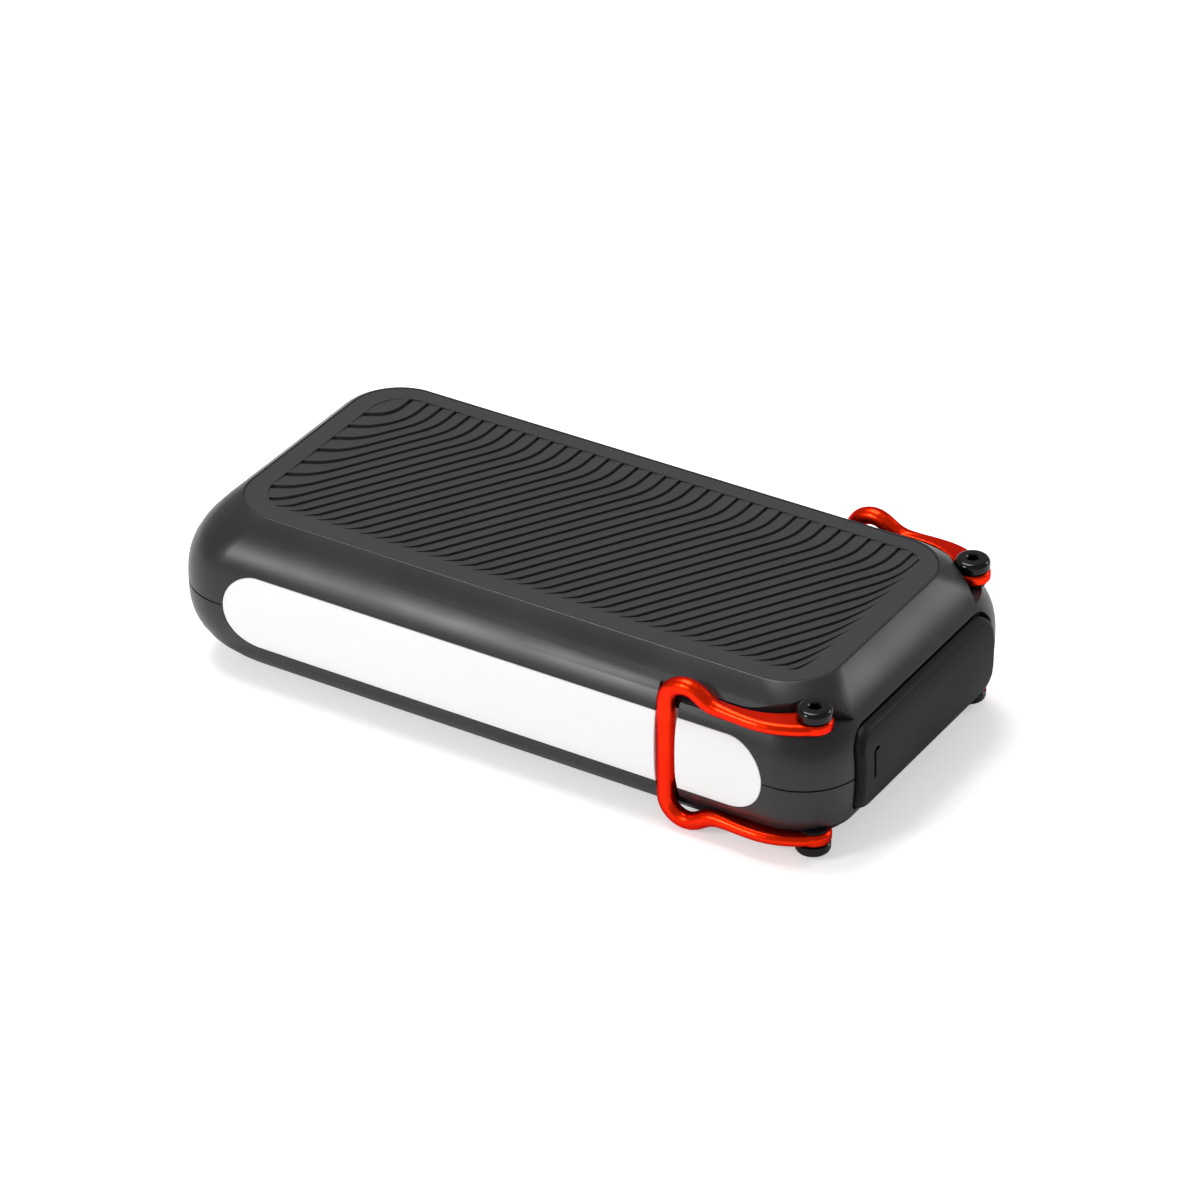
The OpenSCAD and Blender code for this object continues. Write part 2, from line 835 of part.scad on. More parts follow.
module port_door_strap() {
    foot_x = panel_x0 - 1.6;
    color("#2b2b2d") translate([0, 0, mid_z]) {
        box(
            [foot_x, hinge_y - strap_t / 2, -strap_h / 2],
            [hinge_x - bead_r - fit, hinge_y + strap_t / 2, strap_h / 2]
        );
        box(
            [foot_x, hinge_y - 2.9, -strap_h / 2],
            [panel_x0 - 0.4, hinge_y + strap_t / 2, strap_h / 2]
        );
    }
}

module jump_socket() {
    cavity_w = 20.8;
    cavity_t = 9.4;
    color("#1e56c8") translate([0, 0, mid_z]) difference() {
        box([jump_x0, jump_y - jump_w / 2, -jump_h / 2], [panel_x1 + 0.1, jump_y + jump_w / 2, jump_h / 2]);
        translate([jump_x0 + jump_wall, jump_y, 0]) rotate([90, 0, 90]) linear_extrude(20) {
            translate([-cavity_w / 2, -cavity_t / 2]) square([cavity_w - cavity_t / 2, cavity_t]);
            translate([cavity_w / 2 - cavity_t / 2, 0]) circle(d = cavity_t);
        }
        for (s = [-1, 1])
            translate([jump_x0 - cut, jump_y + s * contact_gap / 2, 0]) rotate([0, 90, 0])
                cylinder(r = contact_r, h = 10);
    }
}

module jump_contacts() {
    color("#c9a24a") translate([0, 0, mid_z])
        for (s = [-1, 1])
            translate([jump_x0 - 3, jump_y + s * contact_gap / 2, 0]) rotate([0, 90, 0])
                cylinder(r = contact_r, h = 17.2);
}

// Outline of a USB-C socket along X
module usb_c_bar(w, h, l) {
    rotate([90, 0, 90]) linear_extrude(l) {
        square([w - h, h], center = true);
        for (s = [-1, 1]) translate([s * (w - h) / 2, 0]) circle(d = h);
    }
}

module usb_a_shell() {
    x0 = panel_x1 - usb_a_l;
    color("#b9bcc0") translate([0, 0, mid_z]) difference() {
        box([x0, usb_a_y - usb_a_w / 2, board_top], [panel_x1, usb_a_y + usb_a_w / 2, board_top + usb_a_h]);
        box(
            [x0 + 0.6, usb_a_y - usb_a_w / 2 + usb_wall, board_top + usb_wall],
            [panel_x1 + cut, usb_a_y + usb_a_w / 2 - usb_wall, board_top + usb_a_h - usb_wall]
        );
    }
}

module usb_a_tongue() {
    x0 = panel_x1 - usb_a_l + 0.6;
    z0 = board_top + usb_wall;
    half = usb_a_w / 2 - usb_wall;
    color("#e8e8e8") translate([0, 0, mid_z]) {
        box([x0, usb_a_y - half, z0], [x0 + 3, usb_a_y + half, board_top + usb_a_h - usb_wall]);
        box([x0, usb_a_y - half + 0.7, z0 + 2.6], [panel_x1 - 1, usb_a_y + half - 0.7, z0 + 4.4]);
    }
}

module usb_c_shell() {
    color("#b9bcc0") translate([panel_x1 - usb_c_l, usb_c_y, mid_z + board_top + usb_c_h / 2]) difference() {
        usb_c_bar(usb_c_w, usb_c_h, usb_c_l);
        translate([0.5, 0, 0]) usb_c_bar(usb_c_w - 2 * usb_wall, usb_c_h - 2 * usb_wall, usb_c_l);
    }
}

module usb_c_tongue() {
    color("#2a2a2c") translate([panel_x1 - usb_c_l + 0.5, usb_c_y, mid_z + board_top + usb_c_h / 2])
        box([0, -3.35, -0.35], [usb_c_l - 1.3, 3.35, 0.35]);
}

// ---------------------------------------------------------------- electronics

board_screw_r = 1;
board_head_r = 2.1;
board_head_h = 1.4;

module main_board() {
    low = board_top - board_t;
    color("#1d6b3a") translate([0, 0, mid_z]) difference() {
        union() {
            box([board_x0, -board_y, low], [board_step_x, board_y, board_top]);
            box([board_x0, -board_y, low], [board_x1, jump_y - jump_w / 2 - 2, board_top]);
        }
        for (p = POSTS) translate([p.x, p.y, low - cut]) cylinder(r = board_screw_r + fit, h = board_t + 2 * cut);
    }
}

module board_screws() {
    color("#8d9094") translate([0, 0, mid_z + board_top])
        for (p = POSTS) translate([p.x, p.y, 0]) {
            cylinder(r = board_head_r, h = board_head_h);
            translate([0, 0, -board_t - 4]) cylinder(r = board_screw_r, h = board_t + 4.2);
        }
}

module power_inductor() {
    color("#4a4a4e") translate([board_x0 + 10, -11, mid_z + board_top]) {
        linear_extrude(6.5) {
            square([12, 9], center = true);
            square([9, 12], center = true);
            for (sx = [-1, 1], sy = [-1, 1]) translate([sx * 4.5, sy * 4.5]) circle(r = 1.5);
        }
    }
}

module power_transistors() {
    color("#232325") translate([0, 0, mid_z + board_top])
        for (i = [0 : 3]) translate([board_x0 + 5 + 7 * i, 1.5, 0]) {
            translate([-3, -3, 0]) cube([6, 6, 2.2]);
            translate([-2.4, -4.2, 0]) cube([4.8, 1.4, 0.6]);
        }
}

module power_capacitors() {
    color("#9a9da3") translate([0, 0, mid_z + board_top])
        for (y = [-8, -17]) translate([board_x0 + 22, y, 0]) cylinder(r = 3.6, h = 8);
}

module controller_chip() {
    color("#232325") translate([board_x0 + 15, jump_y, mid_z + board_top])
        translate([-5, -5, 0]) cube([10, 10, 1.2]);
}

// Copper bar from the stack's end tab to one contact of the jump socket
module power_bar(y, up) {
    x1 = jump_x0 - 3;
    reach = cell_pitch * (cell_count - 1) / 2 + 0.6;
    translate([0, 0, mid_z]) {
        box([bar_leg_x, y - power_bar_w / 2, -bar_t / 2], [x1, y + power_bar_w / 2, bar_t / 2]);
        mirror([0, 0, up ? 0 : 1])
            box([bar_leg_x, y - power_bar_w / 2, -bar_t / 2], [bar_leg_x + bar_t, y + power_bar_w / 2, reach]);
    }
}

module positive_bar() {
    color("#c77b4a") power_bar(jump_y + contact_gap / 2, true);
}

module negative_bar() {
    color("#b5703f") power_bar(jump_y - contact_gap / 2, false);
}

// ---------------------------------------------------------------- battery

function cell_z(i) = mid_z + (i - (cell_count - 1) / 2) * cell_pitch;

// Pouch cell with round corners, counted from the bottom
module battery_cell(i) {
    r = 2;
    color("#aeb4bb") translate([cell_x0, -cell_w / 2, cell_z(i) - cell_t / 2])
        linear_extrude(cell_t) {
            translate([r, 0]) square([cell_l - 2 * r, cell_w]);
            translate([0, r]) square([cell_l, cell_w - 2 * r]);
            for (x = [r, cell_l - r], y = [r, cell_w - r]) translate([x, y]) circle(r = r);
        }
}

// Side of the tab with sign +1 or -1: polarity alternates up the stack
function tab_side(i, positive) = ((i % 2 == 0) == positive) ? -1 : 1;

module cell_tabs() {
    color("#d3d6d9")
        for (i = [0 : cell_count - 1], positive = [false, true]) {
            side = tab_side(i, positive);
            end = (i == 0 && !positive) || (i == cell_count - 1 && positive);
            translate([cell_x1, side * tab_y - tab_w / 2, cell_z(i) - tab_t / 2])
                cube([(end ? bar_leg_x : link_x) - cell_x1, tab_w, tab_t]);
        }
}

module cell_links() {
    color("#c3c6c9")
        for (i = [0 : cell_count - 2]) {
            side = tab_side(i, true);
            box(
                [link_x, side * tab_y - tab_w / 2, cell_z(i) - tab_t / 2],
                [link_x + 0.4, side * tab_y + tab_w / 2, cell_z(i + 1) + tab_t / 2]
            );
        }
}

module battery_foam() {
    stack_h = cell_pitch * cell_count / 2;
    end_h = 8;
    end_x0 = -face_x - bow(end_h / mid_z) + slanted(end_h / mid_z, wall) + fit;
    color("#5b5f66") translate([0, 0, mid_z]) {
        for (s = [0, 1]) mirror([0, 0, s])
            box([cell_x0, -cell_w / 2 + 2, stack_h], [cell_x1, cell_w / 2 - 2, cavity_h - fit / 2]);
        box([end_x0, -20, -end_h], [cell_x0 - fit / 2, 20, end_h]);
    }
}

// ---------------------------------------------------------------- controls

switch_h = 2.4;
control_led_h = 0.8;
button_flange_t = 1.1;

// Pieces of the control panel are drawn about its middle, on the parting line
module at_controls() {
    translate([control_x, 0, mid_z]) children();
}

module y_cylinder(r, y0, y1) {
    translate([0, y0, 0]) rotate([-90, 0, 0]) cylinder(r = r, h = y1 - y0);
}

module control_bezel() {
    front = body_w;
    color("#2f2f32") at_controls() difference() {
        union() {
            intersection() {
                translate([-control_x, 0, 0]) whole_body(0.05);
                slot_bar(bezel_l, bezel_h, bezel_back, front);
            }
            slot_bar(
                bezel_l + 2.2, bezel_h + 2.2,
                body_w / 2 - lip_depth, body_w / 2 - lip_depth + 1
            );
            for (s = [-1, 1]) translate([s * control_post_x, 0, 0])
                y_cylinder(2, control_board_y + control_board_t, bezel_back + 0.5);
        }
        for (s = [-1, 1]) translate([s * button_x, 0, 0])
            y_cylinder(button_r + fit, bezel_back - cut, front);
        slot_bar(lens_l + fit, lens_h + fit, bezel_back - cut, front);
        for (s = [-1, 1]) translate([s * control_post_x, 0, 0])
            y_cylinder(control_screw_r, control_board_y, control_board_y + control_board_t + 4);
    }
}

module panel_button(x) {
    flange_y = bezel_back - fit - button_flange_t;
    front = body_w / 2 + button_proud;
    at_controls() translate([x, 0, 0]) {
        y_cylinder(button_flange_r, flange_y, flange_y + button_flange_t);
        y_cylinder(button_r, flange_y, front - 0.5);
        y_cylinder(button_r - 0.5, flange_y, front);
    }
}

module power_button() {
    color("#d8421c") panel_button(-button_x);
}

module light_button() {
    color("#4a4a4d") panel_button(button_x);
}

module charge_window() {
    color("#dfe6ea") at_controls()
        slot_bar(lens_l, lens_h, control_board_y + control_board_t + control_led_h + 0.2, body_w / 2 - 0.15);
}

module control_board() {
    half_l = control_post_x + 3;
    color("#1d6b3a") at_controls() difference() {
        box([-half_l, control_board_y, -5.5], [half_l, control_board_y + control_board_t, 5.5]);
        for (s = [-1, 1]) translate([s * control_post_x, 0, 0])
            y_cylinder(control_screw_r + fit, control_board_y - cut, control_board_y + control_board_t + cut);
    }
}

module control_switches() {
    y0 = control_board_y + control_board_t;
    tip = bezel_back - fit - button_flange_t - button_travel - 0.05;
    color("#c9ccd0") at_controls()
        for (s = [-1, 1]) translate([s * button_x, 0, 0]) {
            box([-3, y0, -3], [3, y0 + switch_h, 3]);
            y_cylinder(1.6, y0, tip);
        }
}

module charge_leds() {
    y0 = control_board_y + control_board_t;
    color("#bfe3ff") at_controls()
        for (i = [0 : 3]) box([-6.8 + 4 * i, y0, -0.5], [-5.2 + 4 * i, y0 + control_led_h, 0.5]);
}

control_screw_r = 0.9;

module control_screws() {
    color("#8d9094") at_controls()
        for (s = [-1, 1]) translate([s * control_post_x, 0, 0]) {
            y_cylinder(1.8, control_board_y - 1.2, control_board_y);
            y_cylinder(control_screw_r, control_board_y - 0.5, control_board_y + control_board_t + 3.6);
        }
}

// Flat cable from the control board round to the main board
module control_cable() {
    x1 = board_x0 + 13.5;
    y0 = control_board_y - cable_t;
    color("#d8d8d0") translate([0, 0, mid_z]) {
        box([control_x + control_post_x + 1.9, y0, board_top], [x1, control_board_y, board_top + cable_w]);
        box([x1 - cable_w, board_y - 2, board_top], [x1, control_board_y, board_top + cable_t]);
    }
}

// Case screws come up through the bottom cover, with their heads under the pad
module case_screws() {
    color("#3c3f43") from_parting(false)
        for (p = CASE_SCREWS) translate([p.x, p.y, 0]) difference() {
            union() {
                translate([0, 0, case_seat]) cylinder(r = case_head_r, h = case_head_h);
                translate([0, 0, case_seat - case_screw_l]) cylinder(r = case_thread_r, h = case_screw_l + 0.2);
            }
            translate([0, 0, case_seat + case_head_h - 0.9]) cylinder(r = 1, h = 2, $fn = 6);
        }
}

// Every piece is drawn about the covers' middle and moved here to its place
module placed() {
    translate([shift_x, 0, 0]) children();
}

placed() top_cover();
placed() bottom_cover();
placed() top_grip_pad();
placed() bottom_grip_pad();
placed() light_diffuser();
placed() light_tray();
placed() light_board();
placed() light_leds();
placed() light_cable();
placed() near_bail();
placed() far_bail();
placed() pivot_screws();
placed() pivot_bushings();
placed() pivot_inserts();
placed() port_panel();
placed() port_door();
placed() port_door_strap();
placed() jump_socket();
placed() jump_contacts();
placed() usb_a_shell();
placed() usb_a_tongue();
placed() usb_c_shell();
placed() usb_c_tongue();
placed() main_board();
placed() board_screws();
placed() power_inductor();
placed() power_transistors();
placed() power_capacitors();
placed() controller_chip();
placed() positive_bar();
placed() negative_bar();
placed() battery_cell(0);  // battery_cell_1
placed() battery_cell(1);  // battery_cell_2
placed() battery_cell(2);  // battery_cell_3
placed() battery_cell(3);  // battery_cell_4
placed() cell_tabs();
placed() cell_links();
placed() battery_foam();
placed() control_bezel();
placed() power_button();
placed() light_button();
placed() charge_window();
placed() control_board();
placed() control_switches();
placed() charge_leds();
placed() control_screws();
placed() control_cable();
placed() case_screws();
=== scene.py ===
"""Jump starter pack: moulded covers, ribbed grip pads, a light bar, two bails and a port door.

Lengths are millimetres until a primitive is placed. The pack lies flat, +X points at the
port end, and the light bar faces -Y. Heights are measured from the parting line.
"""

import json
import math

import bmesh
import bpy
from mathutils import Matrix, Vector


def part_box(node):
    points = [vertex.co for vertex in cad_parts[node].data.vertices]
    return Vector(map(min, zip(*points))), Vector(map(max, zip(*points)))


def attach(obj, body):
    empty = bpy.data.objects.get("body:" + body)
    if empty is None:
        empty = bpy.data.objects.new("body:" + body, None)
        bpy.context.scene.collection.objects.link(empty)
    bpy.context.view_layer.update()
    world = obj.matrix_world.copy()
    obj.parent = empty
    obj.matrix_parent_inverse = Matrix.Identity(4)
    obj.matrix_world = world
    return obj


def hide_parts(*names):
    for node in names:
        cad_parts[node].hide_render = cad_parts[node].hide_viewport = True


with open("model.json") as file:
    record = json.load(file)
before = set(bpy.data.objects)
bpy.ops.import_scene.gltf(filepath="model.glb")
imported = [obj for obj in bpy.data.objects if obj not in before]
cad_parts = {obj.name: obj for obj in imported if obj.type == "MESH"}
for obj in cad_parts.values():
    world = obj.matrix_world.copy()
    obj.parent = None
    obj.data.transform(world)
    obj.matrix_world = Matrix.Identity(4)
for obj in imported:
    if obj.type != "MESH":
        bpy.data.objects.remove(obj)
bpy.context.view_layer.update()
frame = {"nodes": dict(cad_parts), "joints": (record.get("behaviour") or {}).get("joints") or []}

MM = 0.001


def box_mm(node):
    """Lowest and highest corner of a CAD node, in millimetres."""
    low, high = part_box(node)
    return low / MM, high / MM


def joint(name):
    return next(j for j in frame["joints"] if j["name"] == name)


# Places that come from the frame
cover_low, cover_high = box_mm("top_cover")
bar_low, bar_high = box_mm("light_diffuser")
MID_X = (bar_low.x + bar_high.x) / 2
HALF_L = MID_X - cover_low.x
HALF_W = cover_high.y
TOP = cover_high.z
MID_Z = TOP / 2
PIVOT = Vector(joint("near_bail_swing")["pos_m"]) / MM
PIVOT_X = PIVOT.x - MID_X
PIVOT_Y = abs(PIVOT.y)

# Body skin, as the covers have it
FLANK_IN = 9.7
FLANK_BOW = 2.8
FACE_R = 12.5
MID_R = 14.5
WALL = 2.4
FACE_X = HALF_L - FLANK_IN
FACE_Y = HALF_W - FLANK_IN
PAD_T = 1.6
ROOF = 1.8
PAD_RIM = 0.4
CAVITY_H = MID_Z - PAD_T - ROOF
ON_SKIN = 0.05  # how near the skin an edge's middle has to be, to be on it
# How far the light bar and the control panel sit inside the skin
PANEL_INSET = 0.05
PANEL_LIP = 1.1  # their lip behind the wall

# Bail and the recess that it parks in
ROD_R = 2
BAR_X = PIVOT_X - 32.8
BAR_Y = HALF_W - 2
BEND_R = 5.2
ARM_H = MID_Z - 0.5 - ROD_R
PLATE_T = 2.8
PLATE_H = MID_Z - 4.1 - PLATE_T
EYE_R = 4.05
BUSH_R, BUSH_PLAY = 2.5, 0.06
FLANGE_T = 0.45
LEDGE_H = PLATE_H - 0.05 - FLANGE_T  # the eye has 0.05 of play on the flange
RECESS_Y = BAR_Y - 2.5
RECESS_R = EYE_R + 0.3
RECESS_ANGLE = math.radians(29.5)
PARK_SLOPE = (BAR_Y - PIVOT_Y) / (PIVOT_X - BAR_X)
PARK_LEFT = BAR_X - ROD_R * math.hypot(1, PARK_SLOPE) - 0.15
CHANNEL_RIGHT = BAR_X + ROD_R + 1.2
CHANNEL_Y = BAR_Y - ROD_R - 0.4
LINER = 1.2

# Light bar
DIFFUSER_L = 2 * (HALF_L - 16.2)
DIFFUSER_H = TOP - 2 * 10.5
DIFFUSER_BACK = HALF_W - 6.9

# Port end
door_low, door_high = box_mm("port_door")
panel_low = box_mm("port_panel")[0]
PORT_HALF_W = HALF_W - 12
DOOR_R = 5
DOOR_GAP = 0.5
DOOR_H = 2 * (LEDGE_H - 2)
PORT_HALF_H = DOOR_H / 2 + DOOR_GAP
PORT_R = DOOR_R + DOOR_GAP

# Control panel on the far side
bezel_low, bezel_high = box_mm("control_bezel")
CONTROL_X = (bezel_low.x + bezel_high.x) / 2 - MID_X

CASE_HEAD_R = 2.4
FIT = 0.1
FAR_OUT = 60  # well outside the pack, for the open end of a cut


# ---------------------------------------------------------------- modelling


def deselect_all():
    bpy.ops.object.select_all(action="DESELECT")


def activate(piece):
    deselect_all()
    piece.select_set(True)
    bpy.context.view_layer.objects.active = piece


def place(x, y, z):
    """Point in the frame from a point measured from the covers' middle and the parting line."""
    return Vector((x + MID_X, y, z + MID_Z)) * MM


def renamed(piece, name):
    piece.name = name
    piece.data.name = name
    return piece


def named(name):
    """The primitive that was just added, under its name."""
    return renamed(bpy.context.object, name)


def settle(piece):
    """Moves a piece's place, turn and size into its mesh."""
    activate(piece)
    bpy.ops.object.transform_apply(location=True, rotation=True, scale=True)
    return piece


def start_editing(piece, action="SELECT"):
    """Opens a piece's mesh with all of it selected, or none of it."""
    activate(piece)
    bpy.ops.object.mode_set(mode="EDIT")
    bpy.ops.mesh.select_all(action=action)


def stop_editing():
    bpy.ops.object.mode_set(mode="OBJECT")


def outwards(piece):
    start_editing(piece)
    bpy.ops.mesh.normals_make_consistent(inside=False)
    stop_editing()
    return piece


def modify(piece, kind, **settings):
    """Adds one modifier with its settings and applies it."""
    activate(piece)
    modifier = piece.modifiers.new(kind.lower(), kind)
    for key, value in settings.items():
        setattr(modifier, key, value)
    bpy.ops.object.modifier_apply(modifier=modifier.name)
    return piece


def boolean(piece, tool, operation="DIFFERENCE"):
    modify(piece, "BOOLEAN", object=tool, operation=operation, solver="EXACT")
    bpy.data.objects.remove(tool)
    return piece


def copy_of(piece, name):
    activate(piece)
    bpy.ops.object.duplicate()
    return named(name)


def mirrored(piece, name, axis):
    """Copy on the other side of the upright middle plane (Y) or of the parting plane (Z)."""
    twin = copy_of(piece, name)
    centre = place(0, 0, 0)
    scale = Vector((1, 1, 1))
    scale["XYZ".index(axis)] = -1
    bpy.ops.transform.resize(value=scale, center_override=centre)
    settle(twin)
    return outwards(twin)


def join(pieces, name):
    deselect_all()
    for piece in pieces:
        piece.select_set(True)
    bpy.context.view_layer.objects.active = pieces[0]
    bpy.ops.object.join()
    return named(name)


def along(axis):
    return Vector((axis == "X", axis == "Y", axis == "Z"))


def tube(name, radius, base, height, axis="Z", steps=64):
    """Round solid from base along an axis."""
    bpy.ops.mesh.primitive_cylinder_add(
        vertices=steps,
        radius=radius * MM,
        depth=height * MM,
        location=place(*(Vector(base) + along(axis) * height / 2)),
        rotation=(-math.pi / 2 if axis == "Y" else 0, 0, 0),
    )
    return settle(named(name))


def block(name, low, high):
    """Box between two corners."""
    low, high = Vector(low), Vector(high)
    bpy.ops.mesh.primitive_cube_add(
        size=MM, location=place(*((low + high) / 2)), scale=high - low
    )
    return settle(named(name))


def arc(centre, radius, start, end, steps):
    """Points on an arc, angles in degrees."""
    angles = [math.radians(start + (end - start) * i / steps) for i in range(steps + 1)]
    return [(centre[0] + radius * math.cos(a), centre[1] + radius * math.sin(a)) for a in angles]


def plan_solid(name, points, z0, z1):
    """Upright solid on an outline seen from above."""
    bpy.ops.mesh.primitive_circle_add(vertices=len(points), radius=MM, fill_type="NGON")
    piece = named(name)
    for vertex, point in zip(piece.data.vertices, points):
        vertex.co = place(*point, z0)
    start_editing(piece)
    bpy.ops.mesh.extrude_region_move(
        TRANSFORM_OT_translate={"value": (0, 0, (z1 - z0) * MM)}
    )
    stop_editing()
    return outwards(piece)


def round_rectangle(half_x, half_y, radius, steps, centre=(0, 0)):
    """Outline with four round corners."""
    points = []
    for quarter, (sx, sy) in enumerate([(1, 1), (-1, 1), (-1, -1), (1, -1)]):
        middle = (centre[0] + sx * (half_x - radius), centre[1] + sy * (half_y - radius))
        points += arc(middle, radius, 90 * quarter, 90 * (quarter + 1), steps)
    return points


def tipped_solid(name, points, start, end, axis, rows):
    """Solid on an outline that is drawn in plan and then tipped to run along an axis."""
    piece = plan_solid(name, points, 0, end - start)
    origin = place(0, 0, 0)
    shift = Matrix.Translation(origin + along(axis) * start * MM)
    piece.data.transform(shift @ Matrix(rows).to_4x4() @ Matrix.Translation(-origin))
    return outwards(piece)


def side_solid(name, points, y0, y1):
    """Solid on an outline seen along Y, whose points are (x, height)."""
    return tipped_solid(name, points, y0, y1, "Y", ((1, 0, 0), (0, 0, 1), (0, 1, 0)))


def end_solid(name, points, x0, x1):
    """Solid on an outline seen along X, whose points are (y, height)."""
    return tipped_solid(name, points, x0, x1, "X", ((0, 0, 1), (1, 0, 0), (0, 1, 0)))


# ---------------------------------------------------------------- body skin


def bow(share):
    """Distance that the flank stands out from the top face at a share of the half height."""
    return FLANK_IN * (1 - abs(share) ** FLANK_BOW)


def corner(share):
    return FACE_R + (MID_R - FACE_R) * bow(share) / FLANK_IN


def slanted(share, thickness):
    """Level thickness of a wall on the slope that the flank has at this share."""
    slope = FLANK_IN * FLANK_BOW / MID_Z * abs(share) ** (FLANK_BOW - 1)
    return thickness * math.hypot(1, slope)


def add_outline(height, inset, steps):
    """Adds the body's outline at one height to the mesh being edited, drawn in by inset."""
    share = height / MID_Z
    centre = place(0, 0, height)
    half_x = FACE_X + bow(share) - inset
    half_y = FACE_Y + bow(share) - inset
    bpy.ops.mesh.primitive_plane_add(size=2 * MM, location=centre)
    bpy.ops.transform.resize(value=(half_x, half_y, 1), center_override=centre)
    bpy.ops.mesh.bevel(
        offset=(corner(share) - inset) * MM, segments=steps, affect="VERTICES", clamp_overlap=False
    )
    bpy.ops.mesh.delete(type="ONLY_FACE")


def lofted_body(name, levels, steps=24):
    """Closed solid through the body's outlines, given as (height, inset) from the lowest up."""
    bpy.ops.mesh.primitive_plane_add(size=MM)
    piece = named(name)
    bpy.ops.object.mode_set(mode="EDIT")
    bpy.ops.mesh.delete(type="VERT")
    for height, inset in levels:
        add_outline(height, inset, steps)
    bpy.ops.mesh.select_all(action="SELECT")
    bpy.ops.mesh.bridge_edge_loops()
    bpy.ops.mesh.select_all(action="DESELECT")
    bpy.ops.mesh.select_mode(type="EDGE")
    bpy.ops.mesh.select_non_manifold()
    bpy.ops.mesh.edge_face_add()
    bpy.ops.mesh.select_mode(type="VERT")
    bpy.ops.object.mode_set(mode="OBJECT")
    return outwards(piece)


def past_straight(x, y, share):
    """How far a point lies past the middle of the nearest corner's round, along and across."""
    radius = corner(share)
    return abs(x) - (FACE_X + bow(share) - radius), abs(y) - (FACE_Y + bow(share) - radius)


def skin_gap(x, y, h):
    """How far outside the body's skin a point lies, measured level."""
    radius = corner(h / MID_Z)
    dx, dy = past_straight(x, y, h / MID_Z)
    if dx > 0 and dy > 0:
        return math.hypot(dx, dy) - radius
    return max(dx, dy) - radius


def skin_normal(x, y, h):
    """Direction that the body's skin faces at a point on it."""
    share = h / MID_Z
    fall = -FLANK_IN * FLANK_BOW / MID_Z * math.copysign(abs(share) ** (FLANK_BOW - 1), share)
    tighten = (MID_R - FACE_R) / FLANK_IN * fall
    dx, dy = past_straight(x, y, share)
    if dx > 0 and dy > 0:
        length = math.hypot(dx, dy)
        dx, dy = dx / length, dy / length
        rise = -(fall - tighten) * (dx + dy) - tighten
    else:
        dx, dy = (1, 0) if dx > dy else (0, 1)
        rise = -fall
    return Vector((math.copysign(dx, x), math.copysign(dy, y), rise)).normalized()


def from_place(point):
    """A point of a mesh, measured from the covers' middle and the parting line."""
    return point.x / MM - MID_X, point.y / MM, point.z / MM - MID_Z


# ---------------------------------------------------------------- finishing edges


def weld(piece, distance):
    start_editing(piece)
    bpy.ops.mesh.remove_doubles(threshold=distance * MM)
    bpy.ops.mesh.dissolve_degenerate(threshold=0.001 * MM)
    stop_editing()
    return piece


def close_holes(piece):
    """Fills small holes that a cut left where two faces lay in one plane."""
    start_editing(piece)
    bpy.ops.mesh.fill_holes(sides=12)
    stop_editing()
    return outwards(piece)


def round_edges(piece, width, segments, test, least_angle=30):
    """Rounds the outside edges whose middle passes a test of (x, y, height)."""
    start_editing(piece, "DESELECT")
    bpy.ops.mesh.select_mode(type="EDGE")
    shape = bmesh.from_edit_mesh(piece.data)
    least = math.radians(least_angle)
    for edge in shape.edges:
        if len(edge.link_faces) == 2 and edge.calc_face_angle_signed() > least:
            middle = (edge.verts[0].co + edge.verts[1].co) / 2
            edge.select_set(bool(test(*from_place(middle))))
    bmesh.update_edit_mesh(piece.data)
    bpy.ops.mesh.bevel(
        offset=width * MM, segments=segments, affect="EDGES", clamp_overlap=False
    )
    bpy.ops.mesh.select_mode(type="VERT")
    stop_editing()
    return piece


def on_skin(x, y, h):
    return abs(skin_gap(x, y, h)) < ON_SKIN


def on_panel_face(x, y, h):
    return abs(skin_gap(x, y, h) + PANEL_INSET) < 0.03


def shade(piece, skin_inset=None, sharp=35):
    """Smooth shading that keeps flat faces flat.

    A piece that follows the body's skin, drawn in by skin_inset, takes the skin's own normals.
    """
    activate(piece)
    bpy.ops.object.shade_smooth_by_angle(angle=math.radians(sharp))
    modify(piece, "WEIGHTED_NORMAL", keep_sharp=True, weight=50)
    if skin_inset is None:
        return piece
    mesh = piece.data
    normals = [Vector(corner_normal.vector) for corner_normal in mesh.corner_normals]
    for polygon in mesh.polygons:
        for index in polygon.loop_indices:
            point = from_place(mesh.vertices[mesh.loops[index].vertex_index].co)
            if abs(skin_gap(*point) + skin_inset) < 0.03:
                true_normal = skin_normal(*point)
                if polygon.normal.dot(true_normal) > 0.9:
                    normals[index] = true_normal
    mesh.normals_split_custom_set(normals)
    return piece


# ---------------------------------------------------------------- covers

SKIN_HEIGHTS = [2.2, 4.4, 6.6, 8.2, 10, 12.6, 14, 16.4, 17.3, 18.1, 18.7, 19.1]
SEAM_HALF = 0.17
SEAM_DEPTH = 0.6
PIVOT_HOLE_R = 1.52
INSERT_R = 2.3
INSERT_H = LEDGE_H - 2
INSERT_L = 7.4
BOSS_R = 4.2
RECESS_END = 20  # how far the recess runs on past the eye, out through the corner


def park_left(y):
    """Blind side of the bar's channel, which leans the way the bar sets off."""
    return PARK_LEFT - PARK_SLOPE * (y + BAR_Y)


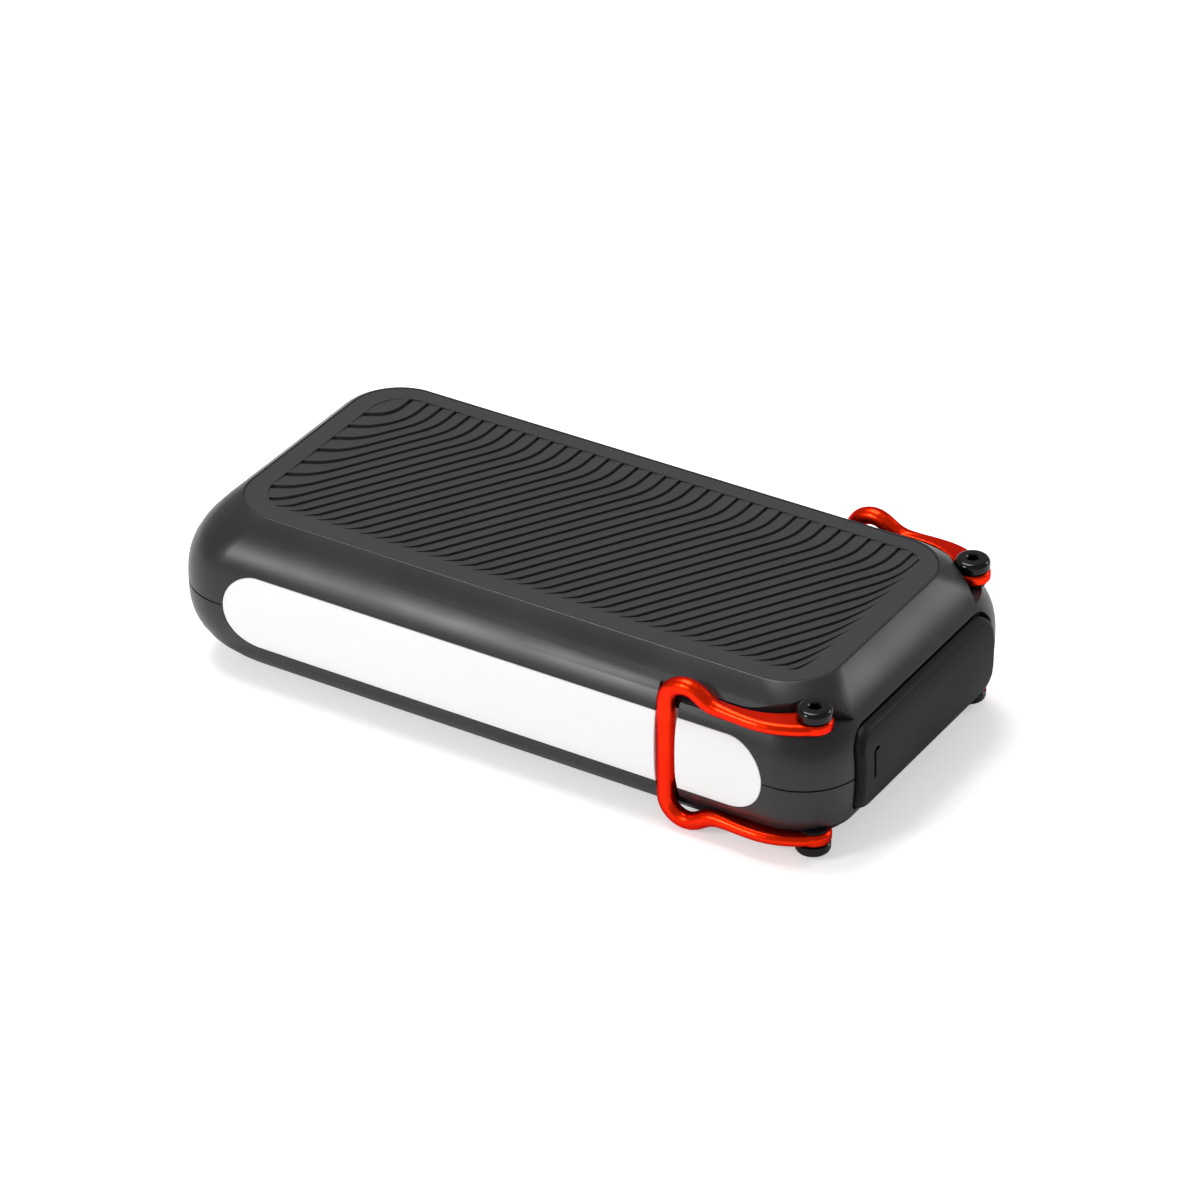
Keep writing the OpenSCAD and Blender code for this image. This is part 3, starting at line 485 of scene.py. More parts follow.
def recess_outline(grow):
    """Ledge and wall round a parked bail on the near side, seen from above, grown by grow."""
    wall_y = -RECESS_Y + grow
    points = [(park_left(-FAR_OUT) - grow, -FAR_OUT), (park_left(wall_y) - grow, wall_y)]
    # The wall curves in towards the eye, a little faster than a parabola
    for share in (i / 20 for i in range(19)):
        points.append((PIVOT_X - 17 + 12.7 * share, wall_y + 4.4 * share**2.25))
    turned_to = 90 + math.degrees(RECESS_ANGLE)
    points += arc((PIVOT_X, -PIVOT_Y), RECESS_R + grow, 145, turned_to, 6)
    end_x = points[-1][0] + RECESS_END * math.cos(RECESS_ANGLE)
    end_y = points[-1][1] + RECESS_END * math.sin(RECESS_ANGLE)
    return points + [(end_x, end_y), (end_x, -FAR_OUT)]


def bail_recess(grow):
    return plan_solid("recess", recess_outline(grow), LEDGE_H - grow, MID_Z + 5)


def bail_channel(grow, low=-1):
    side, right = -CHANNEL_Y + grow, CHANNEL_RIGHT + grow
    points = [(park_left(-FAR_OUT) - grow, -FAR_OUT), (park_left(side) - grow, side)]
    return plan_solid("channel", points + [(right, side), (right, -FAR_OUT)], low, LEDGE_H + 1)


def pivot_bore(radius, low, high):
    return tube("bore", radius, (PIVOT_X, -PIVOT_Y, low), high - low)


def cut_both_sides(piece, tool):
    """Cuts a shape on the near side and its twin on the far side."""
    twin = mirrored(tool, "twin", "Y")
    boolean(piece, tool)
    boolean(piece, twin)


def stadium(half_l, half_h):
    """Outline of a bar with round ends."""
    return round_rectangle(half_l, half_h, half_h - 0.001, 24)


def moved(points, x):
    return [(px + x, pz) for px, pz in points]


BEZEL_HALF_L = (bezel_high.x - bezel_low.x) / 2 - PANEL_LIP
BEZEL_HALF_H = (bezel_high.z - bezel_low.z) / 2 - PANEL_LIP
BEZEL_BACK = HALF_W - WALL - 2.5


def half_cover():
    """Upper cover: skin, wall, ledges for the bails and the openings."""
    levels = [(0, SEAM_DEPTH), (SEAM_HALF, SEAM_DEPTH), (SEAM_HALF, 0.05), (SEAM_HALF + 0.06, 0)]
    levels += [(h, 0) for h in SKIN_HEIGHTS] + [(MID_Z, 0)]
    cover = lofted_body("cover", levels)
    hollow_heights = [-0.5, 0, 4, 7, 9.5, 11.5, 13.2, 14.6, CAVITY_H]
    hollow = lofted_body("hollow", [(h, slanted(h / MID_Z, WALL)) for h in hollow_heights], 10)
    cut_both_sides(hollow, bail_recess(LINER))
    cut_both_sides(hollow, bail_channel(LINER))
    cut_both_sides(hollow, pivot_bore(BOSS_R, INSERT_H - INSERT_L, MID_Z))
    boolean(cover, hollow)
    cut_both_sides(cover, bail_recess(0))
    cut_both_sides(cover, bail_channel(0))
    cut_both_sides(cover, pivot_bore(PIVOT_HOLE_R, 0, MID_Z))
    cut_both_sides(cover, pivot_bore(INSERT_R, -1, INSERT_H))
    pocket = round_rectangle(FACE_X - PAD_RIM, FACE_Y - PAD_RIM, FACE_R - PAD_RIM, 24)
    boolean(cover, plan_solid("pocket", pocket, MID_Z - PAD_T, MID_Z + 5))
    slot = stadium(DIFFUSER_L / 2 + FIT, DIFFUSER_H / 2 + FIT)
    boolean(cover, side_solid("slot", slot, -FAR_OUT, -DIFFUSER_BACK + 1))
    slot = moved(stadium(BEZEL_HALF_L + FIT, BEZEL_HALF_H + FIT), CONTROL_X)
    boolean(cover, side_solid("slot", slot, BEZEL_BACK - 1, FAR_OUT))
    opening = round_rectangle(PORT_HALF_W, PORT_HALF_H, PORT_R, 12)
    boolean(cover, end_solid("opening", opening, panel_low.x - MID_X + 1, FAR_OUT * 2))
    return cover


def at_port(x, y, h):
    inside = abs(y) < PORT_HALF_W + 0.05 and abs(h) < PORT_HALF_H + 0.05
    return x > HALF_L - 6 and inside and on_skin(x, y, h)


def at_recess(x, y, h):
    at_edge = h > LEDGE_H - 0.05 or park_left(-HALF_W) - 1.5 < x < CHANNEL_RIGHT + 0.05
    clear_of_eye = math.dist((x, abs(y)), (PIVOT_X, PIVOT_Y)) > EYE_R + 1
    at_side = x > BAR_X - 5 and abs(y) > 20 and h < MID_Z - 1
    return at_edge and clear_of_eye and at_side and on_skin(x, y, h)


def at_slots(x, y, h):
    return SEAM_HALF + 0.1 < h < MID_Z - 5 and abs(y) > 35 and on_skin(x, y, h)


def at_rim(x, y, h):
    return h > MID_Z - 0.02 and on_skin(x, y, h)


CASE_BORE_R, CASE_WALL = 1.4, 1.4
CASE_SEAT_H, CASE_SEAT_T = MID_Z - PAD_T - 4, 1.6


def case_bosses(cover):
    """Screw bosses of the lower cover, drawn on its upward twin before that is turned over."""
    low, high = box_mm("case_screws")
    places = [
        (x - MID_X, y)
        for x in (low.x + CASE_HEAD_R, high.x - CASE_HEAD_R)
        for y in (low.y + CASE_HEAD_R, high.y - CASE_HEAD_R)
    ]
    for x, y in places:
        for radius, foot in ((CASE_HEAD_R, CASE_SEAT_H - CASE_SEAT_T), (CASE_BORE_R, SEAM_HALF)):
            boss = tube("boss", radius + CASE_WALL, (x, y, foot), CAVITY_H + 0.5 - foot)
            boolean(cover, boss, "UNION")
        boolean(cover, tube("bore", CASE_BORE_R, (x, y, -1), MID_Z + 1))
        boolean(cover, tube("bore", CASE_HEAD_R + FIT, (x, y, CASE_SEAT_H), MID_Z))
    return cover


def soften_cover(cover):
    weld(cover, 0.06)
    round_edges(cover, 0.3, 3, at_port)
    round_edges(cover, 0.2, 3, at_recess)
    round_edges(cover, 0.12, 2, at_slots)
    round_edges(cover, 0.15, 2, at_rim, 20)
    return cover


def make_covers():
    upper = renamed(half_cover(), "upper_cover")
    screwed = soften_cover(case_bosses(copy_of(upper, "screwed_cover")))
    lower = mirrored(screwed, "lower_cover", "Z")
    bpy.data.objects.remove(screwed)
    soften_cover(upper)
    for piece in (upper, lower):
        shade(piece, skin_inset=0)
    return upper, lower


# ---------------------------------------------------------------- grip pads

PAD_INSET = PAD_RIM + 0.05
PAD_HALF_L, PAD_HALF_W, PAD_R = FACE_X - PAD_INSET, FACE_Y - PAD_INSET, FACE_R - PAD_INSET
RIB_COUNT = 50
RIB_PITCH = 3.71
RIB_FIRST = -72.25
FIELD_LEFT, FIELD_RIGHT = -70, 70
FIELD_NEAR, FIELD_FAR = -27.5, 28
# Each rib rises slowly and drops into a thin groove: place along, share of GROOVE_D
RIB_PROFILE = [(0, 0), (0.06, 1), (0.45, 1), (0.58, 0.42)]
GROOVE_D = 0.85


def rib_shift(y):
    """How far a rib has moved along the pad at a place across it: a slope with bent ends."""
    if y > 16.5:
        w = min(y - 16.5, 7.5)
        return 9.9 + 0.6 * w - 0.04 * w * w
    if y < -24.5:
        v = -24.5 - y
        return -14.7 - 0.6 * v - 0.15 * v * v
    return 0.6 * y


def rib_place(u):
    """Place along the pad of a rib whose even place would be u: wider left, closer right."""
    if u > 65:
        return 65 + (math.sqrt(1 + 0.48 * (u - 65)) - 1) / 0.24
    if u < -61:
        fall = -61 - u
        if fall < 4.128:
            return -61 - (1 - math.sqrt(1 - 0.2246 * fall)) / 0.1123
        return -67.5 - (fall - 4.128) / 0.27
    return u


def fade(distance, length):
    share = max(0.0, min(1.0, distance / length))
    return share * share * (3 - 2 * share)


def rib_depth(x, y):
    """The ribs run out towards the near side and the port end."""
    return fade(y - FIELD_NEAR, 2.6) * fade(FIELD_RIGHT - x, 3)


def rib_cutter():
    """Closed solid whose underside is the ribbed face of the pad."""
    columns = [
        (RIB_FIRST + RIB_PITCH * (rib - 4) + shift, depth)
        for rib in range(RIB_COUNT)
        for shift, depth in RIB_PROFILE
    ]
    rows = [FIELD_NEAR - 1.5 + (FIELD_FAR - FIELD_NEAR + 3) * i / 46 for i in range(47)]
    bpy.ops.mesh.primitive_grid_add(
        x_subdivisions=len(columns) - 1, y_subdivisions=len(rows) - 1, size=MM
    )
    cutter = named("rib_cutter")
    order = sorted(range(len(cutter.data.vertices)), key=lambda i: cutter.data.vertices[i].co[:2])
    for rank, index in enumerate(order):
        (u, depth), y = columns[rank // len(rows)], rows[rank % len(rows)]
        x = rib_place(u + rib_shift(y))
        floor = MID_Z - 0.012 - GROOVE_D * depth * rib_depth(x, y)
        cutter.data.vertices[index].co = place(x, y, floor)
    start_editing(cutter)
    bpy.ops.mesh.extrude_region_move(TRANSFORM_OT_translate={"value": (0, 0, 3 * MM)})
    stop_editing()
    return outwards(cutter)


def field_outline():
    """Edge of the ribbed field, with rounder corners at the left end."""
    points = []
    corners = [
        (FIELD_RIGHT, FIELD_FAR, 6), (FIELD_LEFT, FIELD_FAR, 8.5),
        (FIELD_LEFT, FIELD_NEAR, 8.5), (FIELD_RIGHT, FIELD_NEAR, 6),
    ]
    for quarter, (x, y, radius) in enumerate(corners):
        centre = (x - math.copysign(radius, x), y - math.copysign(radius, y))
        points += arc(centre, radius, 90 * quarter, 90 * (quarter + 1), 12)
    return points


def make_pads():
    pad = plan_solid(
        "grip_pad", round_rectangle(PAD_HALF_L, PAD_HALF_W, PAD_R, 24), MID_Z - PAD_T, MID_Z
    )
    round_edges(pad, 0.22, 3, lambda x, y, h: h > MID_Z - 0.1)
    field = plan_solid("field", field_outline(), MID_Z - 1.2, MID_Z + 1)
    close_holes(weld(boolean(pad, boolean(rib_cutter(), field, "INTERSECT")), 0.004))
    upper = renamed(pad, "upper_grip_pad")
    lower = mirrored(upper, "lower_grip_pad", "Z")
    for piece in (upper, lower):
        shade(piece, sharp=25)
    return upper, lower


# ---------------------------------------------------------------- round pieces


def ring_loft(name, rings, steps=32):
    """Closed solid through rings, each (centre, radius, direction that it faces)."""
    bpy.ops.mesh.primitive_circle_add(vertices=steps, radius=MM, fill_type="NGON")
    piece = named(name)
    start_editing(piece)
    for _ in rings[1:]:
        bpy.ops.mesh.extrude_region_move()
    stop_editing()
    circle = [Vector((*point, 0)) for point in arc((0, 0), 1, 0, 360, steps)[:-1]]
    for index, vertex in enumerate(piece.data.vertices):
        centre, radius, direction = rings[index // steps]
        turn = Vector((0, 0, 1)).rotation_difference(Vector(direction))
        vertex.co = place(*(Vector(centre) + turn @ circle[index % steps] * radius))
    return outwards(piece)


def turned(name, profile, centre, axis="Z", steps=64):
    """Solid of revolution through (radius, height) points along an axis from centre."""
    up = along(axis)
    return ring_loft(name, [(Vector(centre) + up * h, r, up) for r, h in profile], steps)


def rounding(radius, height, edge, steps=6):
    """Quarter round from the side of a turned piece to its top, as (radius, height) points."""
    return [(radius - edge + r, height - edge + h) for r, h in arc((0, 0), edge, 0, 90, steps)]


# ---------------------------------------------------------------- bails

# Centre line of the rod past its bend, as (x, y, drop below the arm, rod's radius): it steps
# down to the plate and runs on as the plate's rounded outer edge
NECK = [
    (50.6, -40.3, 0.1, 2.0), (51.9, -40.3, 0.6, 2.0), (53.2, -40.32, 1.4, 2.0),
    (54.5, -40.36, 2.2, 1.97), (55.8, -40.42, 2.7, 1.88), (57.4, -40.55, 2.95, 1.72),
    (59.2, -40.75, 3.0, 1.58), (61.2, -41.0, 3.0, 1.47), (63.4, -41.22, 3.0, 1.42),
    (65.6, -41.34, 3.0, 1.4), (67.8, -41.3, 3.0, 1.4), (69.9, -41.0, 3.0, 1.4),
    (72.0, -40.4, 3.0, 1.4), (74.2, -39.5, 3.0, 1.4), (76.3, -38.4, 3.0, 1.4),
    (78.3, -36.95, 3.0, 1.4),
]
PLATE_INNER = [
    (56.6, -38.9), (60.0, -39.1), (62.6, -39.05), (65.0, -38.75), (67.2, -38.15),
    (69.2, -37.25), (71.2, -36.0), (73.17, -34.5), (77.2, -34.5),
]
PLATE_OUTLINE = PLATE_INNER + [point[:2] for point in NECK[:4:-1]] + [(56.6, -40.45)]


def rod_rings():
    """Rings of the rod from the bar's middle, round the bend and along the neck."""
    rings = [((BAR_X, -BAR_Y, -1), ROD_R, (0, 0, 1))]
    bend_x, bend_h = BAR_X + BEND_R, ARM_H - BEND_R
    for x, h in arc((bend_x, bend_h), BEND_R, 180, 90, 12):
        rings.append(((x, -BAR_Y, h), ROD_R, (h - bend_h, 0, bend_x - x)))
    line = [Vector((bend_x, -BAR_Y, ARM_H))]
    line += [Vector((x, y, ARM_H - drop)) for x, y, drop, _ in NECK]
    for before, point, after, (*_, radius) in zip(line, line[1:], line[2:] + line[-1:], NECK):
        rings.append((point, radius, after - before))
    return rings


def near_bail_arm():
    """Rod, necks, plates and eyes of the near bail, grown into one piece."""
    rod = ring_loft("rod", rod_rings(), 40)
    plate = plan_solid("plate", PLATE_OUTLINE, PLATE_H, PLATE_H + PLATE_T)
    edge = 0.7
    profile = [(EYE_R - edge, 0), (EYE_R, edge)] + rounding(EYE_R, PLATE_T, edge)
    eye = turned("eye", profile, (PIVOT_X, -PIVOT_Y, PLATE_H))
    upper = join([rod, plate, eye], "upper_half")
    bail = join([upper, mirrored(upper, "lower_half", "Z")], "near_bail_arm")
    modify(bail, "REMESH", mode="VOXEL", voxel_size=0.2 * MM, use_smooth_shade=True)
    modify(bail, "SMOOTH", factor=0.5, iterations=6)
    return boolean(bail, pivot_bore(BUSH_R + BUSH_PLAY, -MID_Z, MID_Z))


def make_bails():
    near = near_bail_arm()
    far = mirrored(near, "far_bail_arm", "Y")
    for piece in (near, far):
        activate(piece)
        bpy.ops.object.shade_smooth_by_angle(angle=math.radians(50))
    return near, far


SEAT_H = PLATE_H + PLATE_T + 0.3
HEAD_R, HEAD_H, SHOULDER_R, SCREW_R, SCREW_L = 3.9, 2.5, 1.15, 1.5, 11
SOCKET_DEPTH = 1.5
SOCKET_R = 2.5 / math.cos(math.radians(30)) / 2  # to a corner of the 2.5 hex


def make_screws():
    """Cap screw with a rounded shoulder and a chamfered hex socket, four times."""
    profile = [(SCREW_R - 0.3, -SCREW_L), (SCREW_R, 0.3 - SCREW_L)]
    profile += [(SCREW_R, 0), (HEAD_R - 0.2, 0), (HEAD_R, 0.2)]
    profile += rounding(HEAD_R, HEAD_H, SHOULDER_R, 8)
    screw = turned("near_upper_pivot_screw", profile, (PIVOT_X, -PIVOT_Y, SEAT_H))
    top = (PIVOT_X, -PIVOT_Y, SEAT_H + HEAD_H)
    bottom = (PIVOT_X, -PIVOT_Y, SEAT_H + HEAD_H - SOCKET_DEPTH)
    boolean(screw, tube("socket", SOCKET_R, bottom, 2 * SOCKET_DEPTH, steps=6))
    boolean(screw, turned("mouth", [(SOCKET_R - 0.25, -0.35), (SOCKET_R + 0.45, 0.35)], top))
    screws = [screw, mirrored(screw, "far_upper_pivot_screw", "Y")]
    screws += [mirrored(piece, piece.name.replace("upper", "lower"), "Z") for piece in screws]
    for piece in screws:
        shade(piece, sharp=40)
    return screws


# ---------------------------------------------------------------- light bar

DIFFUSER_WALL = 2


def make_diffuser():
    """Opal bar that follows the flank, open at the back and notched round the bail's bar."""
    heights = [-10.5, -9, -7.5, -6, -4, -2, 0, 2, 4, 6, 7.5, 9, 10.5]
    bar = lofted_body("light_bar", [(h, PANEL_INSET) for h in heights])
    outline = stadium(DIFFUSER_L / 2, DIFFUSER_H / 2)
    boolean(bar, side_solid("outline", outline, -FAR_OUT, -DIFFUSER_BACK), "INTERSECT")
    lip = stadium(DIFFUSER_L / 2 + PANEL_LIP, DIFFUSER_H / 2 + PANEL_LIP)
    lip_y = WALL + 2 - HALF_W
    lip = side_solid("lip", lip, lip_y, lip_y + 1.4)
    boolean(lip, bail_channel(LINER + FIT, -MID_Z))
    boolean(bar, lip, "UNION")
    inner = stadium(DIFFUSER_L / 2 - DIFFUSER_WALL, DIFFUSER_H / 2 - DIFFUSER_WALL)
    hollow = side_solid("hollow", inner, DIFFUSER_WALL + 0.7 - HALF_W, 1 - DIFFUSER_BACK)
    boolean(hollow, bail_channel(DIFFUSER_WALL, -MID_Z))
    boolean(bar, hollow)
    boolean(bar, bail_channel(0, -MID_Z))
    weld(bar, 0.04)
    round_edges(bar, 0.15, 2, on_panel_face)
    return shade(bar, skin_inset=PANEL_INSET)


# ---------------------------------------------------------------- port end

FRONT_X = door_high.x - MID_X
DOOR_EDGE = 1.5
HINGE_HALF_H, BEAD_R, WEB_HALF_T = 5, 0.35, 0.3


def grip_slot(y):
    """Thin slot for a fingernail, upright, with its top bent over."""
    half, top, bottom, bend = 0.42, 5, -2.1, 1.3
    outer = arc((y - half + bend, top - bend), bend, 90, 180, 8)
    inner = arc((y - half + bend, top - bend), bend - 2 * half, 180, 90, 8)
    points = [(y + 2, top), *outer, (y - half, bottom), (y + half, bottom), *inner]
    points.append((y + 2, top - 2 * half))
    return end_solid("grip_slot", points, FRONT_X - 1.1, FAR_OUT * 2)


def edge_distance(y, h, half_w, half_h, middle):
    """How far inside the door's round-cornered outline a point lies."""
    across, up = abs(y - middle) - (half_w - DOOR_R), abs(h) - (half_h - DOOR_R)
    return DOOR_R - math.hypot(max(across, 0), max(up, 0)) - min(max(across, up), 0)


def crown_face(door, half_w, half_h, middle):
    """Bends the flat face to the flank, with its edge rolled back all round."""
    start_editing(door, "DESELECT")
    bpy.ops.mesh.select_mode(type="FACE")
    shape = bmesh.from_edit_mesh(door.data)
    front = FRONT_X + MID_X
    for face in shape.faces:
        face.select_set(face.normal.x > 0.9 and face.calc_center_median().x / MM > front - 0.05)
    bmesh.update_edit_mesh(door.data)
    for step in (0.06, 0.12, 0.18, 0.24, 0.3, 0.3, 0.3, 1.2, 1.5):
        bpy.ops.mesh.inset(thickness=step * MM, use_even_offset=True)
    bpy.ops.mesh.select_mode(type="VERT")
    for i in range(-5, 6):
        bpy.ops.mesh.select_all(action="SELECT")
        bpy.ops.mesh.bisect(plane_co=place(0, 0, i * 1.7), plane_no=(0, 0, 1))
    stop_editing()
    for vertex in door.data.vertices:
        x, y, h = from_place(vertex.co)
        if x > FRONT_X - 0.05:
            roll = max(0, DOOR_EDGE - edge_distance(y, h, half_w, half_h, middle))
            drop = DOOR_EDGE - math.sqrt(max(0, DOOR_EDGE**2 - roll**2))
            vertex.co = place(x - FLANK_IN + bow(h / MID_Z) - drop, y, h)


def make_door():
    """Rubber door with a rounded face, a sealing lip and a grip slot, on a thin living hinge."""
    lip_deep, lip_inset, lip_wide = 0.9, 2.6, 1.1
    back_x = door_low.x + lip_deep - MID_X
    low_y, high_y = door_low.y, door_high.y - 1
    middle, half_w, half_h = (low_y + high_y) / 2, (high_y - low_y) / 2, DOOR_H / 2
    outline = round_rectangle(half_w, half_h, DOOR_R, 12, (middle, 0))
    door = end_solid("rubber_door", outline, back_x, FRONT_X)
    crown_face(door, half_w, half_h, middle)

    def inner_block(name, inset, x0, x1):
        low = (x0, low_y + inset, inset - half_h)
        return block(name, low, (x1, high_y - inset, half_h - inset))

    ring = inner_block("lip", lip_inset, back_x - lip_deep, back_x + 0.3)
    boolean(ring, inner_block("lip_hollow", lip_inset + lip_wide, back_x - 2, back_x))
    round_edges(ring, 0.3, 3, lambda x, y, h: x < back_x - 0.5)
    boolean(door, ring, "UNION")
    boolean(door, grip_slot(low_y + 4.95))
    hinge = Vector(joint("port_door_swing")["pos_m"]) / MM
    x, root_y = hinge.x - MID_X, high_y - 0.5
    web = [(x + WEB_HALF_T, root_y), *arc((x, hinge.y), BEAD_R, -30, 210, 16)]
    web.append((x - WEB_HALF_T, root_y))
    boolean(door, plan_solid("web", web, -HINGE_HALF_H, HINGE_HALF_H), "UNION")
    return shade(close_holes(weld(door, 0.02)), sharp=40)


# ---------------------------------------------------------------- control panel

BUTTON_X, BUTTON_R, BUTTON_FLANGE_R = 17, 4.5, 5.3
DISH_R, DISH_DEPTH = 3.6, 0.35
LENS_HALF_L, LENS_HALF_H = 8, 1.6
CONTROL_POST_X = BUTTON_X + 8.5
CONTROL_BOARD_TOP = BEZEL_BACK - 5.2


def make_bezel():
    """Panel set flush in the far flank, bored for two buttons and a lens."""
    heights = [-8, -6.5, -5, -3, -1.5, 0, 1.5, 3, 5, 6.5, 8]
    bezel = lofted_body("control_panel", [(h, PANEL_INSET) for h in heights])
    outline = moved(stadium(BEZEL_HALF_L, BEZEL_HALF_H), CONTROL_X)
    boolean(bezel, side_solid("outline", outline, BEZEL_BACK, FAR_OUT), "INTERSECT")
    lip = moved(stadium(BEZEL_HALF_L + PANEL_LIP, BEZEL_HALF_H + PANEL_LIP), CONTROL_X)
    back = HALF_W - WALL - 2
    boolean(bezel, side_solid("lip", lip, back, back + 1), "UNION")
    post_l = BEZEL_BACK + 0.5 - CONTROL_BOARD_TOP
    for side in (-1, 1):
        x = CONTROL_X + side * CONTROL_POST_X
        post = tube("post", 2, (x, CONTROL_BOARD_TOP, 0), post_l, "Y", 32)
        boolean(bezel, post, "UNION")
        boolean(bezel, tube("bore", 1, (x, CONTROL_BOARD_TOP - 1, 0), 4, "Y", 32))
        x = CONTROL_X + side * BUTTON_X
        boolean(bezel, tube("bore", BUTTON_R + FIT, (x, BEZEL_BACK - 1, 0), 12, "Y"))
    slot = moved(stadium(LENS_HALF_L + FIT / 2, LENS_HALF_H + FIT / 2), CONTROL_X)
    boolean(bezel, side_solid("slot", slot, BEZEL_BACK - 1, FAR_OUT))
    weld(bezel, 0.04)
    round_edges(bezel, 0.2, 3, on_panel_face)
    return shade(bezel, skin_inset=PANEL_INSET)


def make_button(name, side):
    """Round button with a soft rim, a shallow dish and a flange behind the panel."""
    low, high = box_mm(name)
    length = high.y - low.y
    profile = [(BUTTON_FLANGE_R - 0.15, 0), (BUTTON_FLANGE_R, 0.15), (BUTTON_FLANGE_R, 1.1)]
    profile += [(BUTTON_R, 1.1)] + rounding(BUTTON_R, length, 0.6)
    for r in (DISH_R, 3, 2.4, 1.6, 0.8):
        profile.append((r, length - DISH_DEPTH * math.cos(math.pi / 2 * r / DISH_R) ** 2))
    centre = (CONTROL_X + side * BUTTON_X, low.y, 0)
    return shade(turned(name + "_cap", profile, centre, "Y"), sharp=40)


def make_lens():
    low, high = box_mm("charge_window")
    outline = moved(stadium(LENS_HALF_L, LENS_HALF_H), CONTROL_X)
    lens = side_solid("charge_lens", outline, low.y, high.y)
    round_edges(lens, 0.3, 3, lambda x, y, h: y > high.y - 0.05)
    return shade(lens, sharp=40)


# ---------------------------------------------------------------- materials


def linear(code):
    """Colour for a shader from an sRGB hex value."""
    values = [int(code[i : i + 2], 16) / 255 for i in (1, 3, 5)]
    return (*(v / 12.92 if v < 0.04045 else ((v + 0.055) / 1.055) ** 2.4 for v in values), 1)


def per(size):
    """Repeats per metre of a pattern whose features are this many millimetres."""
    return 1000 / size


def add_node(tree, kind, settings=None, links=None):
    """Adds one shader node, with values for its settings and sockets and with its links."""
    node = tree.nodes.new("ShaderNode" + kind)
    for key, value in (settings or {}).items():
        if isinstance(key, int) or key in node.inputs:
            node.inputs[key].default_value = value
        else:
            setattr(node, key, value)
    for key, source in (links or {}).items():
        tree.links.new(source, node.inputs[key])
    return node


def empty_tree(owner):
    owner.use_nodes = True
    owner.node_tree.nodes.clear()
    return owner.node_tree


def start_material(name, colour, roughness, metallic=0, **sockets):
    """A material with its shader set, ready for its pattern: (material, tree, shader, place)."""
    material = bpy.data.materials.new(name)
    tree = empty_tree(material)
    output = add_node(tree, "OutputMaterial")
    settings = {"Base Color": linear(colour), "Roughness": roughness, "Metallic": metallic}
    settings.update({key.replace("_", " "): value for key, value in sockets.items()})
    shader = add_node(tree, "BsdfPrincipled", settings)
    tree.links.new(shader.outputs["BSDF"], output.inputs["Surface"])
    coordinates = add_node(tree, "TexCoord")
    return material, tree, shader, coordinates.outputs["Object"]


def grain(tree, shader, where, size, depth, detail=3, bump_on=None):
    """Surface grain: bumps of a size and depth in millimetres."""
    noise = add_node(tree, "TexNoise", {"Scale": per(size), "Detail": detail}, {"Vector": where})
    links = {"Height": noise.outputs["Fac"]}
    if bump_on is not None:
        links["Normal"] = bump_on
    bump = add_node(tree, "Bump", {"Distance": depth * MM}, links)
    tree.links.new(bump.outputs["Normal"], shader.inputs["Normal"])


def uneven(tree, shader, where, size, low, high):
    """Roughness that wanders between two values over patches of a size."""
    noise = add_node(tree, "TexNoise", {"Scale": per(size), "Detail": 2}, {"Vector": where})
    spread = add_node(
        tree, "MapRange", {"To Min": low, "To Max": high, "From Min": 0.3, "From Max": 0.7},
        {"Value": noise.outputs["Fac"]},
    )
    tree.links.new(spread.outputs["Result"], shader.inputs["Roughness"])


def mottle(tree, shader, where, size, first, second, detail=2):
    """Colour that wanders between two values over patches of a size."""
    noise = add_node(tree, "TexNoise", {"Scale": per(size), "Detail": detail}, {"Vector": where})
    ramp = add_node(tree, "ValToRGB", {}, {"Fac": noise.outputs["Fac"]})
    ends = ramp.color_ramp.elements
    ends[0].position, ends[1].position = 0.35, 0.65
    ends[0].color, ends[1].color = linear(first), linear(second)
    tree.links.new(ramp.outputs["Color"], shader.inputs["Base Color"])


def moulded(name, colour, second, roughness, grain_size, grain_depth, **sockets):
    """Moulded plastic or rubber: even colour, fine texture from the tool, slightly uneven gloss."""
    material, *surface = start_material(name, colour, roughness, **sockets)
    mottle(*surface, 18, colour, second)
    grain(*surface, grain_size, grain_depth)
    uneven(*surface, 25, roughness - 0.04, roughness + 0.04)
    return material


def brushed(name, colour, roughness, line, axis="X", depth=0.004):
    """Metal with fine lines along one axis, from drawing, turning or brushing."""
    material, tree, shader, where = start_material(name, colour, roughness, 1)
    stretch = Vector((1, 1, 1))
    stretch["XYZ".index(axis)] = 0.04
    lines = add_node(tree, "Mapping", {"Scale": stretch}, {"Vector": where})
    grain(tree, shader, lines.outputs["Vector"], line, depth, 4)
    uneven(tree, shader, lines.outputs["Vector"], line * 2, roughness - 0.06, roughness + 0.08)
    return material


def opal_plastic():
    # Opal polycarbonate: milky, lets light a little way in, moulded smooth with a satin face
    material, *surface = start_material(
        "opal_polycarbonate", "#fbfbfb", 0.34, IOR=1.58,
        Subsurface_Weight=0.25, Subsurface_Radius=(1, 1, 1), Subsurface_Scale=0.0015,
    )
    grain(*surface, 0.6, 0.002)
    uneven(*surface, 20, 0.31, 0.37)
    return material


def bail_finish():
    # Powder-coated steel rod in candy orange: coloured film over bright metal, so lit edges go
    # light orange and turned-away sides deep red
    material, *surface = start_material(
        "orange_powder_coat", "#ff2e00", 0.3, 0.95, Specular_Tint=linear("#ff7a18"),
        Coat_Weight=0.12, Coat_Roughness=0.12,
    )
    mottle(*surface, 9, "#ff2e00", "#fa2600")
    grain(*surface, 0.5, 0.006)
    uneven(*surface, 12, 0.27, 0.34)
    return material


